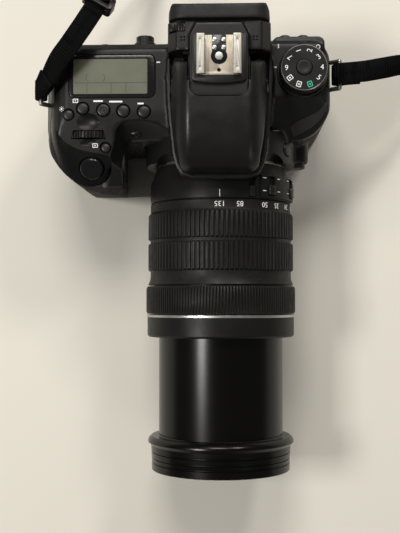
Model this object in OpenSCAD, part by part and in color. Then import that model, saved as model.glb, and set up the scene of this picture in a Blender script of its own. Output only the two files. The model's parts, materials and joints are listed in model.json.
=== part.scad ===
// Digital single-lens reflex camera with a zoom lens at its long setting, standing on its base.
// Origin: mouth of the tripod socket, under the lens axis. +Z is up, the lens points to -Y, the grip is at -X.

/* [Body] */
// Height of the lens axis above the base
axis_z = 41; // [40:0.5:44]
// Distance from the lens axis to the grip side
grip_side = 85.5; // [84:0.5:92]
// Distance from the lens axis to the dial side
dial_side = 53.5; // [52.5:0.5:58]
// Distance from the tripod socket to the back wall
back_y = 25.5; // [25:0.25:28]
// Distance from the tripod socket to the front wall
front = 20; // [19:0.25:21]
// Distance from the tripod socket to the front of the grip
grip_front = 45.5; // [44:0.5:50]
// Distance from the lens axis to the inner side of the grip
grip_inner = 47; // [46:0.5:49]
// Wall of the front, rear and top covers
wall = 2.4; // [2:0.1:2.8]
// Thickness of the base cover
base_t = 4; // [3.5:0.25:5]
// Height of the seam under the top cover
seam_z = 59; // [58.5:0.25:60]
// Height of the deck on the grip side
deck_z = 76.5; // [75.5:0.25:78]
// Height of the deck on the dial side
side_deck_z = 74; // [73:0.25:75]
// Thickness of the rubber skins
rubber_t = 1.2; // [0.8:0.1:1.5]

/* [Finder and flash] */
// Half width of the finder hump
finder_half = 24; // [23.5:0.25:26]
// Distance from the tripod socket to the back of the finder hump
finder_back = 31; // [30:0.25:33]
// Top of the finder hump
finder_top = 95.5; // [94.5:0.25:96.5]
// Depth of the eyecup
eyecup_depth = 10; // [8:0.5:14]
// Half width of the flash head
head_half = 22.5; // [22:0.25:23.5]
// Top of the flash head
head_top = 100.2; // [99.5:0.1:101]
// Wall of the flash head
head_wall = 2.2; // [1.8:0.1:2.4]
// Width of the hot shoe
shoe_w = 20.6; // [20:0.2:22]
// Length of the hot shoe
shoe_len = 18.3; // [17:0.1:19]

/* [Controls] */
// Radius of the mode dial
mode_r = 11.6; // [10.5:0.1:12]
// Height of the mode dial
mode_h = 9.4; // [8:0.2:11]
// Radius of the main dial
main_dial_r = 12; // [11.5:0.1:12.5]
// Width of the main dial
main_dial_w = 3.4; // [3:0.1:3.6]
// Radius of the shutter button
shutter_r = 5.6; // [5:0.1:6.2]
// Radius of the rear dial
rear_dial_r = 14; // [13:0.25:14.5]
// Gap between a control and its hole
control_gap = 0.25; // [0.15:0.05:0.4]
// Travel of the push buttons
press = 1; // [0.5:0.1:1.2]

/* [Lens] */
// Distance from the tripod socket to the lens mount face
mount_dist = 33; // [32.5:0.25:34]
// Radius of the extending barrel
inner_r = 31.3; // [30.8:0.1:31.5]
// Radius of the rear and scale bands
band_r = 35.6; // [35:0.1:36]
// Radius of the zoom grip
zoom_r = 36.8; // [36.4:0.1:37.4]
// Radius of the focus ring
focus_r = 37.8; // [37.4:0.1:38.2]
// Radius of the front collar
collar_r = 37.2; // [36.8:0.1:37.6]
// Travel of the extending barrel
zoom_travel = 49.5; // [40:0.5:50]
// Radius of the filter thread
filter_r = 33.5; // [33.2:0.1:33.8]
// Running gap between lens rings
ring_gap = 0.3; // [0.2:0.05:0.4]

/* [Strap] */
// Width of the webbing
strap_w = 10; // [8:0.5:10]
// Thickness of the webbing
strap_t = 1.6; // [1.2:0.1:1.8]

/* [Hidden] */
$fn = 64;
eps = 0.05;
fit = 0.2;
mount_y = -mount_dist;
front_y = -front;
grip_front_y = -grip_front;
seam_y = 14;
rear_t = 8;
deck_t = 6;
inner_back = back_y - rear_t;

// Rounding of the body plan, by corner
dial_back_r = 9;
grip_back_r = 13;
grip_nose_r = 32;
grip_tip_r = 6;
gap_r = 6;
dial_front_r = 18;

// The grip leans in towards its foot, below this height
lean_z = 45;
lean_front = 4.3;
foot_inner = 52;

// Mount surround and lens flange
surround_r = 38;
surround_y = mount_y + 2;
mount_ring_r = 32.5;
mount_bore_r = 27;
mount_ring_t = 3;

// Shoulder of the grip side, from the deck down to where the side is upright
grip_shoulder = [for (step = [[12, 0], [8.1, 1.7], [5.3, 4.5], [3.2, 8], [1.6, 12.5], [0.6, 16], [0, 19]])
    [-grip_side + step[0], deck_z - step[1]]];

// Grip slope, from the deck to the nose
lip_y = -8;
slope_y = -28;
slope_drop = 4;
slope_nose_y = -42;
slope_nose_z = deck_z - 12.5;
nose_end = [-48, deck_z - 24];
lip_tan = slope_drop / (lip_y - slope_y);
slope_tan = (deck_z - slope_drop - slope_nose_z) / (slope_y - slope_nose_y);
slope_tilt = atan(slope_tan);

// Flash head
flash_hinge_y = 5;
head_bottom = axis_z + surround_r + 1.3;
head_h = head_top - head_bottom;
flash_hinge_z = head_bottom + 0.412 * head_h;
arm_r = 0.352 * head_h;
arm_pocket_r = arm_r + 2.2;
pin_r = 2;
pin_gap = 0.05;
core_half = head_half - 5.7;
core_top = head_top - 8.2;
core_front = -28;
tongue_y = -5.2;
tongue_gap = 0.5;
tongue_half = 15.5;

// Mirror box and what lies behind it
box_half = 21;
box_in = 16.6;
box_bottom = 21;
box_floor = 3;
box_back = 5;
mirror_y = 2.5;
mirror_z = seam_z - 4;
mirror_len = 27;
mirror_t = 1.5;
shutter_t = 3.5;
sensor_t = 6;

// Hot shoe
shoe_z = head_top - 2.2;
shoe_front = 4.4;
shoe_plate = 1;
shoe_lip = 1.3;
shoe_slot = 2.1;
shoe_open = 12.8;

// Centres of the top buttons, with their radius
lamp_at = [-72.6, -9.3, 2.45];
metering_at = [-65.6, -6.3, 2.7];
iso_at = [-55.7, -7.1, 2.9];
drive_at = [-46.1, -7.6, 2.9];
focus_mode_at = [-36.2, -8, 2.9];
button_len = 5.4;
button_stand = 0.9;
mode_at = [39.7, 10.7];
lever_t = 2;
main_dial_at = [-63.2, -18.5];
af_area_at = [-55, -24.8, 2.2];
shutter_at = [-62.2, -34];
flash_button_y = -23.8;
flash_button_r = 3.2;
flash_button_angle = 60;

// Heights of the slopes at a distance y from the socket
function slope_z(y) =
    y > slope_y ? deck_z - (lip_y - y) * lip_tan : deck_z - slope_drop - (slope_y - y) * slope_tan;
dial_slope_y = -1;
dial_slope_end = 60.5;
dial_slope_tan = (side_deck_z - dial_slope_end) / (dial_slope_y - front_y);
function dial_slope_z(y) = side_deck_z - (dial_slope_y - y) * dial_slope_tan;

// Centres of the rear controls, as x and z, with their radius
live_view_at = [-36.5, 66.2, 5.4];
ae_lock_at = [-56, 66.5, 2.6];
menu_at = [31.7, 66.5, 2.6];
info_at = [40.4, 66.5, 2.6];
playback_at = [-37, 46, 2.8];
ledge_x = [25.5, 50.5];
ledge_out = 3.5;
rear_dial_at = [-57, 27];
set_r = 5;
rear_hole = 5.6;

// Monitor and its hinge
monitor_x = [-29, 46.4];
monitor_z = [7, 57];
monitor_in = back_y - 5.5;
monitor_out = back_y + 2.5;
monitor_gap = 0.4;
monitor_hinge_x = 49.9;
monitor_hinge_y = back_y - 1;
knuckle_r = 3;
knuckle_z = [14, 50];

// Doors
door_gap = 0.3;
card_y = [-14, 8];
card_z = [14, 53];
port_y = [0.5, 11.5];
port_z = [13, 55];
battery_x = [-grip_side + 8.1, -foot_inner - 4.6];
battery_y = [grip_front_y + 17.5, 10];
battery_top = 51;
battery_door_x = [-grip_side + 5.5, -foot_inner - 3];
battery_door_y = [grip_front_y + 19.5, 11];
battery_door_z = [0.4, base_t];
door_barrel_r = 1.5;
door_pin_r = 0.7;
door_pin_len = 1.4;
card_pin = [-grip_side + door_barrel_r, card_y[1] - door_barrel_r];
port_pin = [dial_side - door_barrel_r, port_y[1] - door_barrel_r];
battery_pin = [battery_door_x[1] - door_barrel_r, battery_door_z[0] + door_barrel_r];

// Finder openings
eye_half = 13;
eye_z = [finder_top - 19.5, finder_top - 3.5];
eyecup_half = 23.5;
eyecup_z = [finder_top - 26, finder_top + 2.7];
dioptre_x = -18.5;
dioptre_z = finder_top - 3.9;
dioptre_r = 4.6;
dioptre_y = [25.6, 29.6];

// Status display
display_x = [-72.4, -30.8];
display_y = [-1.2, 19.7];
display_t = 3;

// Lens, as distances in front of the mount face
u_flange = 3;
u_rear = 16.3;
u_scale = 21;
u_grip = 50;
u_zoom_end = 57.5;
u_focus = 58;
u_collar = 72.3;
u_focus_end = u_collar - 0.5;
u_collar_end = 83.3;
u_inner = 61;
u_ring = u_collar_end + zoom_travel + 0.2;
u_front = u_ring + 17;
core_r = 33.6;
inner_wall = 1.7;
flange_r = 36.8;
neck_r = 34.6;
rim_r = 34.9;
thread_len = 5;
switch_angles = [43, 72];
switch_u = [5.2, 14.6];
switch_pad_r = 37;
switch_pad_u = [4.6, 15.6];
switch_w = 5;
switch_len = 4.6;
switch_depth = 1.3;
lock_angle = 26;
lock_u = [6, 15.6];
lock_w = 3.4;
lock_len = 5;

// Strap lugs and webbing route
lug_half = 6.6;
lug_reach = 6.2;
lug_wire = 1.1;
lug_grip_tilt = 55;
lug_dial_tilt = 40;
lug_z = 65.5;
lug_grip_y = 4;
lug_dial_y = 10.8;
hank_x = [2, 92];
hank_y = [108, 166];
hank_h = 10.2;
slider_size = [15, 7, 6];
slider_slot = 3.6;

// Route of the webbing: a point on its centre line, then the way that its width lies
left_route = [
    [-84.8, 4, 69.2], [-84.6, 4.1, 73], [-82.9, 6.2, 77.2], [-79.6, 10.2, 81.8], [-75.5, 15.6, 85.6],
    [-70.2, 21.8, 87.7], [-64.3, 30, 88.3], [-59.2, 38, 87.8], [-56.6, 42.6, 86.2], [-53.4, 48.5, 81.5],
    [-50.8, 55, 73.5], [-48.3, 61.5, 61], [-45.5, 68, 44], [-42, 75, 27], [-37, 82, 13.5], [-30, 89.5, 6.8],
    [-21.5, 96.5, 5.2], [-11, 103.5, 5.2], [2, 110, 5.2]];
left_width = [
    [0, -1, 0], [0, -1, 0], [0.35, -0.94, 0], [0.55, -0.83, 0], [0.62, -0.78, 0],
    [0.68, -0.73, 0], [0.72, -0.7, 0], [0.8, -0.6, 0], [0.82, -0.57, 0], [0.82, -0.57, 0],
    [0.82, -0.55, 0], [0.83, -0.5, 0.1], [0.82, -0.42, 0.35], [0.7, -0.3, 0.6], [0.45, -0.15, 0.85],
    [0.2, -0.05, 1], [0, 0, 1], [0, 0, 1], [0, 0, 1]];
right_route = [
    [54.9, 10.8, 68.4], [56, 10.8, 71], [58.3, 10.9, 72.2], [63, 11.2, 72.3], [70, 11.9, 71.9],
    [79, 13.6, 71], [88, 15.5, 68.8], [96.5, 16.3, 61.5], [103, 15.3, 49], [108.5, 13.6, 33], [112.8, 12.6, 16.5],
    [116.8, 15, 5], [120, 23, 1.4], [122.5, 38, 1], [124, 60, 1], [124.5, 84, 1], [123.5, 106, 1.2], [120, 126, 2.6],
    [113, 144, 4.6], [103, 155, 5.2], [92, 160, 5.2]];
right_width = [
    [0, 1, 0], [0, 1, 0], [0, 1, 0], [0, 1, 0], [0, 1, 0.1], [0, 1, 0.3],
    [0, 1, 0.6], [0, 1, 0.5], [0, 1, 0.3], [0, 1, 0], [0.1, 1, 0], [-0.3, 0.9, 0],
    [-0.8, 0.4, 0], [-1, 0.1, 0], [-1, 0, 0], [-1, 0, 0], [-1, 0, -0.2], [-1, -0.1, -0.5],
    [-0.8, -0.2, -0.9], [0, 0, -1], [0, 0, -1]];
slider_point = 8;

// Shared shapes

function arc(centre, r, from, to, n = 8) =
    [for (i = [0 : n]) centre + r * [cos(from + (to - from) * i / n), sin(from + (to - from) * i / n)]];

// Outline of corners [x, y, radius, from, to, side], where side is -1 for a hollow corner, taken in by d
function outline(corners, d = 0) =
    [for (c = corners) each arc([c[0], c[1]], c[2] - c[5] * d, c[3], c[4])];

function round_rect(x, y, r) = outline([
    [x[1] - r, y[1] - r, r, 0, 90, 1],
    [x[0] + r, y[1] - r, r, 90, 180, 1],
    [x[0] + r, y[0] + r, r, 180, 270, 1],
    [x[1] - r, y[0] + r, r, 270, 360, 1]]);

body_corners = [
    [dial_side - dial_back_r, back_y - dial_back_r, dial_back_r, 0, 90, 1],
    [-grip_side + grip_back_r, back_y - grip_back_r, grip_back_r, 90, 180, 1],
    [-grip_side + grip_nose_r, grip_front_y + grip_nose_r, grip_nose_r, 180, 270, 1],
    [-grip_inner - grip_tip_r, grip_front_y + grip_tip_r, grip_tip_r, 270, 360, 1],
    [-grip_inner + gap_r, front_y - gap_r, gap_r, 180, 90, -1],
    [dial_side - dial_front_r, front_y + dial_front_r, dial_front_r, 270, 360, 1]];

module plan(d = 0) polygon(outline(body_corners, d));

// What the lean takes off the grip, for the outline taken in by d
module grip_lean(d) {
    yz(-100, -grip_inner + gap_r) polygon([[grip_front_y + d, lean_z], [grip_front_y + lean_front + d, 0],
        [grip_front_y + lean_front + d, -20], [-100, -20], [-100, lean_z]]);
    xz(-100, front_y + d) polygon([[-grip_inner - d, lean_z], [-foot_inner - d, 0], [-foot_inner - d, -20],
        [-30, -20], [-30, lean_z]]);
}

// The body between two heights, taken in by d
module mass(d, z) difference() {
    translate([0, 0, z[0]]) linear_extrude(z[1] - z[0]) plan(d);
    grip_lean(d);
}

// A flat outline in x and z, from y0 to y1
module xz(y0, y1) translate([0, y1, 0]) rotate([90, 0, 0]) linear_extrude(y1 - y0) children();

// A flat outline in y and z, from x0 to x1
module yz(x0, x1) translate([x0, 0, 0]) rotate([90, 0, 90]) linear_extrude(x1 - x0) children();

module box(x, y, z) translate([x[0], y[0], z[0]]) cube([x[1] - x[0], y[1] - y[0], z[1] - z[0]]);

// A round bar along x, y or z
module bar_x(r, x, y, z) translate([x[0], y, z]) rotate([0, 90, 0]) cylinder(r = r, h = x[1] - x[0]);
module bar_y(r, x, y, z) translate([x, y[0], z]) rotate([-90, 0, 0]) cylinder(r = r, h = y[1] - y[0]);
module bar_z(r, x, y, z) translate([x, y, z[0]]) cylinder(r = r, h = z[1] - z[0]);

// A turned lens part: radius and distance in front of the mount face
module turned(profile) translate([0, mount_y, axis_z]) rotate([90, 0, 0]) rotate_extrude() polygon(profile);
module tube(r_in, r_out, u0, u1) turned([[r_in, u0], [r_out, u0], [r_out, u1], [r_in, u1]]);

// Body casings

module mount_surround(y1) bar_y(surround_r, 0, [surround_y, y1], axis_z);

// The deck above the seam, with its walls taken in by d and its top lowered by dz
module deck(d = 0, dz = 0) {
    reach = 100;
    difference() {
        intersection() {
            translate([0, 0, seam_z - dz]) linear_extrude(reach) plan(d);
            translate([0, 0, -dz]) xz(-reach, reach) polygon(concat(
                [[-grip_side, seam_z - reach], [dial_side, seam_z - reach]],
                arc([dial_side - 8, side_deck_z - 8], 8, 0, 90),
                [[12, side_deck_z], [12, deck_z]],
                grip_shoulder));
        }
        translate([0, 0, -dz]) {
            yz(-reach, -grip_inner + gap_r) polygon([[lip_y, deck_z], [slope_y, deck_z - slope_drop],
                [slope_nose_y, slope_nose_z], nose_end, [-reach, nose_end[1]], [-reach, deck_z + reach],
                [lip_y, deck_z + reach]]);
            yz(-grip_inner + gap_r, -finder_half) polygon([[-9, deck_z], [-21, 65], [-reach, 65],
                [-reach, deck_z + reach], [-9, deck_z + reach]]);
            yz(finder_half, reach) polygon([[dial_slope_y, side_deck_z], [front_y, dial_slope_end],
                [-reach, dial_slope_end], [-reach, deck_z + reach], [dial_slope_y, deck_z + reach]]);
        }
    }
}

module prism_core() yz(-core_half, core_half) polygon([[core_front, seam_z], [core_front, core_top - 8],
    [core_front + 6, core_top], [16, core_top], [16, seam_z]]);

module finder_hump() {
    difference() {
        xz(6, finder_back) polygon([[-finder_half, seam_z], [finder_half, seam_z], [finder_half, finder_top - 5],
            [finder_half - 4, finder_top], [-finder_half + 4, finder_top], [-finder_half, finder_top - 5]]);
        for (x = [[-finder_half - 4, -tongue_half + 0.4], [tongue_half - 0.4, finder_half + 4]])
            bar_x(arm_pocket_r, x, flash_hinge_y, flash_hinge_z);
    }
    yz(-13.5, 13.5) polygon([[tongue_y, head_top - 0.2], [tongue_y - 2.2, head_top - 2.4],
        [tongue_y - 2.2, core_top - 1], [shoe_front + shoe_len + 1, core_top - 1], [shoe_front + shoe_len + 1, shoe_z],
        [shoe_front - 0.5, shoe_z], [shoe_front - 0.5, head_top - 0.2]]);
}

module top_button_hole(at, top)
    bar_z(at[2] + control_gap, at[0], at[1], [top - button_len - press - 0.5, top + 20]);

module rear_hole(at, r, depth = rear_hole)
    bar_y(r + control_gap, at[0], [back_y - depth - press, back_y + 20], at[1]);

// The flash button stands on the mount surround, on the dial side
module flash_frame() translate([0, flash_button_y, axis_z]) rotate([0, flash_button_angle, 0])
    translate([0, 0, surround_r]) children();
module flash_button_hole() flash_frame() translate([0, 0, button_stand - button_len - press - 0.5])
    cylinder(r = flash_button_r + control_gap, h = 40);

module main_dial_slot() {
    reach = main_dial_r + 0.6;
    bar_y(reach, main_dial_at[0], [main_dial_at[1] - main_dial_w / 2 - 0.4, main_dial_at[1] + main_dial_w / 2 + 0.4],
        main_dial_z);
}
main_dial_out = 2.3;
main_dial_z = slope_z(main_dial_at[1]) + main_dial_out - main_dial_r;
axle_r = 1.2;

module main_dial_ears() {
    for (side = [-1, 1])
        translate([main_dial_at[0], main_dial_at[1] + side * (main_dial_w / 2 + 1.6), 0])
            difference() {
                box([-3, 3], [-1, 1], [main_dial_z - 3, slope_z(main_dial_at[1] + 3) - deck_t + 0.3]);
                bar_y(axle_r + pin_gap, 0, [-2, 2], main_dial_z);
            }
}

module shutter_frame() translate([shutter_at[0], shutter_at[1], slope_z(shutter_at[1])])
    rotate([slope_tilt, 0, 0])
    children();

module top_cover() color([0.07, 0.07, 0.075]) {
    difference() {
        union() {
            deck();
            prism_core();
            finder_hump();
            translate([0, 0, seam_z + 1.2]) linear_extrude(side_deck_z - seam_z - 2.8)
                polygon(round_rect(ledge_x, [inner_back + 2, back_y + ledge_out], 3));
            intersection() {
                mount_surround(front_y + 2);
                box([-60, 60], [-60, 0], [seam_z, 200]);
            }
            for (side = [[-head_half + 0.2, -core_half + 4], [core_half - 4, head_half - 0.2]])
                bar_x(pin_r, side, flash_hinge_y, flash_hinge_z);
        }
        intersection() {
            deck(wall, deck_t);
            box([-200, 200], [-200, inner_back], [0, 200]);
        }
        yz(-core_half + 2.2, core_half - 2.2) polygon([[front_y + wall, 0], [front_y + wall, core_top - 14],
            [-16.5, core_top - 2], [14, core_top - 2], [16, core_top - 7], [finder_back - 6, core_top - 8],
            [finder_back - 6, seam_z - 1],
            [14, seam_z - 1], [14, 0]]);
        bar_y(mount_bore_r, 0, [-60, front_y + wall + 0.5], axis_z);
        bar_y(mount_ring_r + fit, 0, [-60, mount_y + mount_ring_t], axis_z);
        box([-eye_half, eye_half], [10, 60], eye_z);
        box([-shoe_w / 2 - fit, shoe_w / 2 + fit], [shoe_front - fit, 60], [shoe_z, 200]);
        bar_y(dioptre_r + control_gap, dioptre_x, [dioptre_y[0] - 0.3, dioptre_y[1] + 0.3], dioptre_z);
        box([display_x[0] - fit, display_x[1] + fit], [display_y[0] - fit, display_y[1] + fit],
            [deck_z - display_t - 0.3, 100]);
        for (at = [lamp_at, metering_at, iso_at, drive_at, focus_mode_at]) top_button_hole(at, deck_z);
        top_button_hole(af_area_at, slope_z(af_area_at[1]));
        flash_button_hole();
        shutter_frame() translate([0, 0, -7]) cylinder(r = shutter_r + control_gap, h = 40);
        main_dial_slot();
        bar_y(axle_r + control_gap, main_dial_at[0],
            [main_dial_at[1] - main_dial_w / 2 - 2.7, main_dial_at[1] + main_dial_w / 2 + 2.7], main_dial_z);
        bar_z(3 + control_gap, mode_at[0], mode_at[1], [side_deck_z - 5, 120]);
        rear_hole(live_view_at, live_view_at[2]);
        for (at = [ae_lock_at, menu_at, info_at]) rear_hole(at, at[2]);
    }
    main_dial_ears();
}

// The rubber skin between the body plan and the same plan taken in by the skin's thickness
module skin(d_out, d_in, z) difference() {
    mass(d_out, z);
    mass(d_in, [z[0] - 1, z[1] + 1]);
}

grip_skin_z = [8, 57.5];
side_skin_z = [9, 57];
thumb_z = [rear_dial_at[1] + rear_dial_r + 1.5, 57];

module grip_region(grow) box([-100, -grip_inner + gap_r + 2 + grow], [-100, -16 + grow], [0, 200]);
module side_region(grow) box([26 - grow, 100], [-100, -3 + grow], [0, 200]);
module thumb_region(grow) box([-100, -66 + grow], [seam_y + 1 - grow, 100], [0, 200]);

module skin_pocket(region_z) skin(-1, rubber_t + 0.1, [region_z[0] - 0.1, region_z[1] + 0.1]);

module release_boss() bar_y(6.2, release_at[0], [release_front, front_y + 1], release_at[1]);
release_at = [38.5, 40];
release_r = 4.6;
release_front = -28.5;

module front_cover() color([0.06, 0.06, 0.065]) difference() {
    union() {
        difference() {
            mass(0, [base_t, seam_z]);
            mass(wall + rubber_t, [base_t - 1, seam_z + 1]);
            intersection() { skin_pocket(grip_skin_z); grip_region(0.1); }
            intersection() { skin_pocket(side_skin_z); side_region(0.1); }
        }
        intersection() {
            mount_surround(front_y + wall + rubber_t);
            box([-60, 60], [-60, 0], [base_t, seam_z]);
        }
        release_boss();
    }
    box([-200, 200], [seam_y, 200], [-1, 200]);
    yz(-200, -grip_inner + 3) polygon([[slope_nose_y, slope_nose_z], nose_end, [-100, nose_end[1]], [-100, 200],
        [slope_nose_y, 200]]);
    bar_y(mount_bore_r, 0, [-60, front_y + wall + rubber_t + 1], axis_z);
    bar_y(mount_ring_r + fit, 0, [-60, mount_y + mount_ring_t], axis_z);
    bar_y(release_r + control_gap, release_at[0], [-60, release_front + 6], release_at[1]);
    flash_button_hole();
    screw_holes();
    bar_z(door_pin_r + pin_gap, card_pin[0], card_pin[1], [card_z[0] - door_pin_len, card_z[1] + door_pin_len]);
    bar_z(door_pin_r + pin_gap, port_pin[0], port_pin[1], [port_z[0] - door_pin_len, port_z[1] + door_pin_len]);
    box([-100, -grip_side + wall + rubber_t + 1], [card_y[0] - door_gap, card_y[1] + door_gap],
        [card_z[0] - door_gap, card_z[1] + door_gap]);
    box([dial_side - wall - rubber_t - 1, 100], [port_y[0] - door_gap, port_y[1] + door_gap],
        [port_z[0] - door_gap, port_z[1] + door_gap]);
}

module rear_cover() color([0.06, 0.06, 0.065]) difference() {
    translate([0, 0, base_t]) linear_extrude(seam_z - base_t) plan();
    box([-200, 200], [-200, seam_y], [-1, 200]);
    intersection() {
        translate([0, 0, base_t - 1]) linear_extrude(seam_z - base_t + 2) plan(wall + rubber_t);
        box([-200, 200], [-200, inner_back], [-1, 200]);
    }
    intersection() { skin_pocket(thumb_z); thumb_region(0.1); }
    box([monitor_x[0] - monitor_gap, monitor_x[1] + monitor_gap], [monitor_in - 0.3, 100],
        [monitor_z[0] - monitor_gap, monitor_z[1] + monitor_gap]);
    box([monitor_x[1], 100], [monitor_hinge_y - knuckle_r - 0.5, 100],
        [knuckle_z[0] - monitor_gap, knuckle_z[1] + monitor_gap]);
    screw_holes();
    rear_hole(playback_at, playback_at[2]);
    rear_hole(rear_dial_at, rear_dial_r, 3);
    rear_hole(rear_dial_at, set_r, rear_hole);
}

module base_cover() color([0.05, 0.05, 0.055]) difference() {
    union() {
        mass(1, [0, base_t]);
        bar_z(8, 0, 0, [0, base_t + 5]);
    }
    bar_z(socket_r, 0, 0, [-1, socket_len]);
    box([battery_door_x[0] - door_gap, battery_door_x[1] + door_gap],
        [battery_door_y[0] - door_gap, battery_door_y[1] + door_gap], [-1, base_t + 1]);
    for (at = screw_at) {
        bar_z(screw_head_r + fit, at[0], at[1], [-1, 2]);
        bar_z(screw_r + fit, at[0], at[1], [-1, base_t + 1]);
    }
    bar_y(door_pin_r + pin_gap, battery_pin[0], [battery_door_y[0] - door_pin_len, battery_door_y[1] + door_pin_len],
        battery_pin[1]);
}
socket_r = 3.2;
socket_len = 8;
screw_r = 1;
screw_head_r = 2;
screw_at = [[-80, 14], [44, 14], [40, -8], [-30, -12], [-30, 18]];

module screw_holes() for (at = screw_at) bar_z(screw_r + fit, at[0], at[1], [0, base_t + 2.5]);

module cover_screws() color("silver") for (at = screw_at) {
    bar_z(screw_head_r, at[0], at[1], [0.6, 1.9]);
    bar_z(screw_r, at[0], at[1], [1.8, base_t + 2]);
}

module grip_skin() intersection() {
    skin(0, rubber_t, grip_skin_z);
    grip_region(0);
    difference() {
        box([-100, 0], [-100, 0], [0, 100]);
        yz(-200, 0) polygon([[slope_nose_y, slope_nose_z - 0.1], nose_end - [0, 0.1], [-100, nose_end[1] - 0.1],
            [-100, 200], [slope_nose_y, 200]]);
    }
}

module rubber_skins() color([0.1, 0.1, 0.1]) {
    grip_skin();
    intersection() {
        skin(0, rubber_t, side_skin_z);
        side_region(0);
        difference() {
            box([0, 100], [-100, 100], [0, 100]);
            bar_y(7.2, release_at[0], [-100, 0], release_at[1]);
            bar_y(surround_r + fit, 0, [-100, 0], axis_z);
        }
    }
    intersection() { skin(0, rubber_t, thumb_z); thumb_region(0); }
}

// Hot shoe and display

module hot_shoe() color("silver") {
    y = [shoe_front, shoe_front + shoe_len];
    top = shoe_z + shoe_plate + shoe_slot;
    half = shoe_w / 2;
    box([-half, half], y, [shoe_z, shoe_z + shoe_plate]);
    for (side = [-1, 1]) {
        box([side < 0 ? -half : half - 1, side < 0 ? 1 - half : half], y, [shoe_z, top + shoe_lip]);
        box([side < 0 ? -half : shoe_open / 2, side < 0 ? -shoe_open / 2 : half], y, [top, top + shoe_lip]);
    }
}

contact_points = [[-2.1, 20.5, 1.15], [2.1, 20.5, 1.15], [-2.1, 16.9, 1.15], [2.1, 16.9, 1.15], [0, 13, 1.9]];

module shoe_contacts() color([0.05, 0.05, 0.05]) {
    floor_z = shoe_z + shoe_plate;
    box([-3.2, 3.2], [15, shoe_front + shoe_len], [floor_z, floor_z + 0.4]);
    bar_z(3.6, 0, 13, [floor_z, floor_z + 0.4]);
    for (at = contact_points) bar_z(at[2], at[0], at[1], [floor_z + 0.2, floor_z + 0.8]);
}

module status_display() color([0.5, 0.52, 0.45])
    box(display_x, display_y, [deck_z - display_t - 0.3, deck_z - 0.3]);

// Finder

module eyecup() color([0.04, 0.04, 0.04]) difference() {
    intersection() {
        xz(finder_back, finder_back + eyecup_depth) polygon(round_rect([-eyecup_half, eyecup_half], eyecup_z, 8));
        yz(-eyecup_half, eyecup_half) polygon([[finder_back, eyecup_z[0]],
            [finder_back + eyecup_depth, eyecup_z[0] + 2], [finder_back + eyecup_depth, eyecup_z[1] - 13],
            [finder_back + eyecup_depth - 4.4, eyecup_z[1]], [finder_back, eyecup_z[1]]]);
        linear_extrude(200) polygon(round_rect([-eyecup_half, eyecup_half],
            [0, finder_back + eyecup_depth], 5));
    }
    xz(finder_back - 1, finder_back + eyecup_depth + 1)
        polygon(round_rect([-eye_half - 2.5, eye_half + 2.5], [eye_z[0] - 2, eye_z[1] + 2], 1.8));
}

module eyepiece_lens() color([0.6, 0.65, 0.7])
    box([-eye_half + fit, eye_half - fit], [finder_back - 4, finder_back - 1], [eye_z[0] + fit, eye_z[1] - fit]);

module pentaprism() color([0.75, 0.8, 0.85]) yz(-core_half + 3, core_half - 3) polygon([[front_y + wall + 1.5, seam_z],
    [12.5, seam_z], [12.5, core_top - 12], [2, core_top - 3], [-12, core_top - 3],
    [front_y + wall + 1.5, core_top - 18]]);

// Mirror box, mirror, shutter and sensor

module mirror_box() color([0.1, 0.1, 0.1]) difference() {
    box([-box_half, box_half], [front_y + wall + rubber_t, box_back], [box_bottom, seam_z]);
    box([-box_in, box_in], [front_y - 10, box_back + 1], [box_bottom + box_floor, seam_z - 1]);
    box([-box_in + 1, box_in - 1], [front_y + wall + rubber_t + 2, box_back - 2], [box_bottom + box_floor, seam_z + 1]);
    bar_x(axle_r + pin_gap, [-box_half - 1, box_half + 1], mirror_y, mirror_z);
}

module reflex_mirror() color([0.8, 0.82, 0.85]) {
    translate([0, mirror_y, mirror_z]) rotate([45, 0, 0])
        box([-box_in + 0.6, box_in - 0.6], [-mirror_len, 0], [-mirror_t / 2, mirror_t / 2]);
    bar_x(axle_r, [-box_half + 0.5, box_half - 0.5], mirror_y, mirror_z);
}

module shutter_unit() color([0.15, 0.15, 0.15]) difference() {
    box([-box_half, box_half], [box_back, box_back + shutter_t], [box_bottom + 1, seam_z - 1]);
    box([-12, 12], [0, box_back + 1.2], [axis_z - 8, axis_z + 8]);
}

module image_sensor() color([0.2, 0.35, 0.3])
    box([-18, 18], [box_back + shutter_t, box_back + shutter_t + sensor_t - 1], [axis_z - 14, axis_z + 14]);

module battery() color([0.12, 0.12, 0.13]) box(battery_x, battery_y, [base_t + 0.3, battery_top]);

// Flash head

function head_z(share) = head_bottom + share * head_h;
head_profile = [[-36.5, head_bottom], [-38.6, head_z(0.085)], [-39.3, head_z(0.236)], [-38.6, head_z(0.412)],
    [-36, head_z(0.613)], [-31, head_z(0.789)], [-24, head_z(0.915)], [-15, head_z(0.99)],
    [tongue_y - tongue_gap, head_top]];
head_inner = [[-35.5, 0], [-37, head_z(0.136)], [-36.4, head_z(0.367)], [-34, head_z(0.538)],
    [-29.8, head_z(0.688)], [-23.4, head_z(0.804)], [-15, head_z(0.879)], [50, head_z(0.879)], [50, 0]];

// Plan of the flash head, taken in by d: wide at its hinge, narrower at the nose
function head_plan(d) = concat([[-head_half - 1 + d, 20], [-head_half + 2 + d, -29]],
    arc([-head_half + 10, -31.5], 8 - d, 180, 270), arc([head_half - 10, -31.5], 8 - d, 270, 360),
    [[head_half - 2 - d, -29], [head_half + 1 - d, 20]]);

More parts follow.
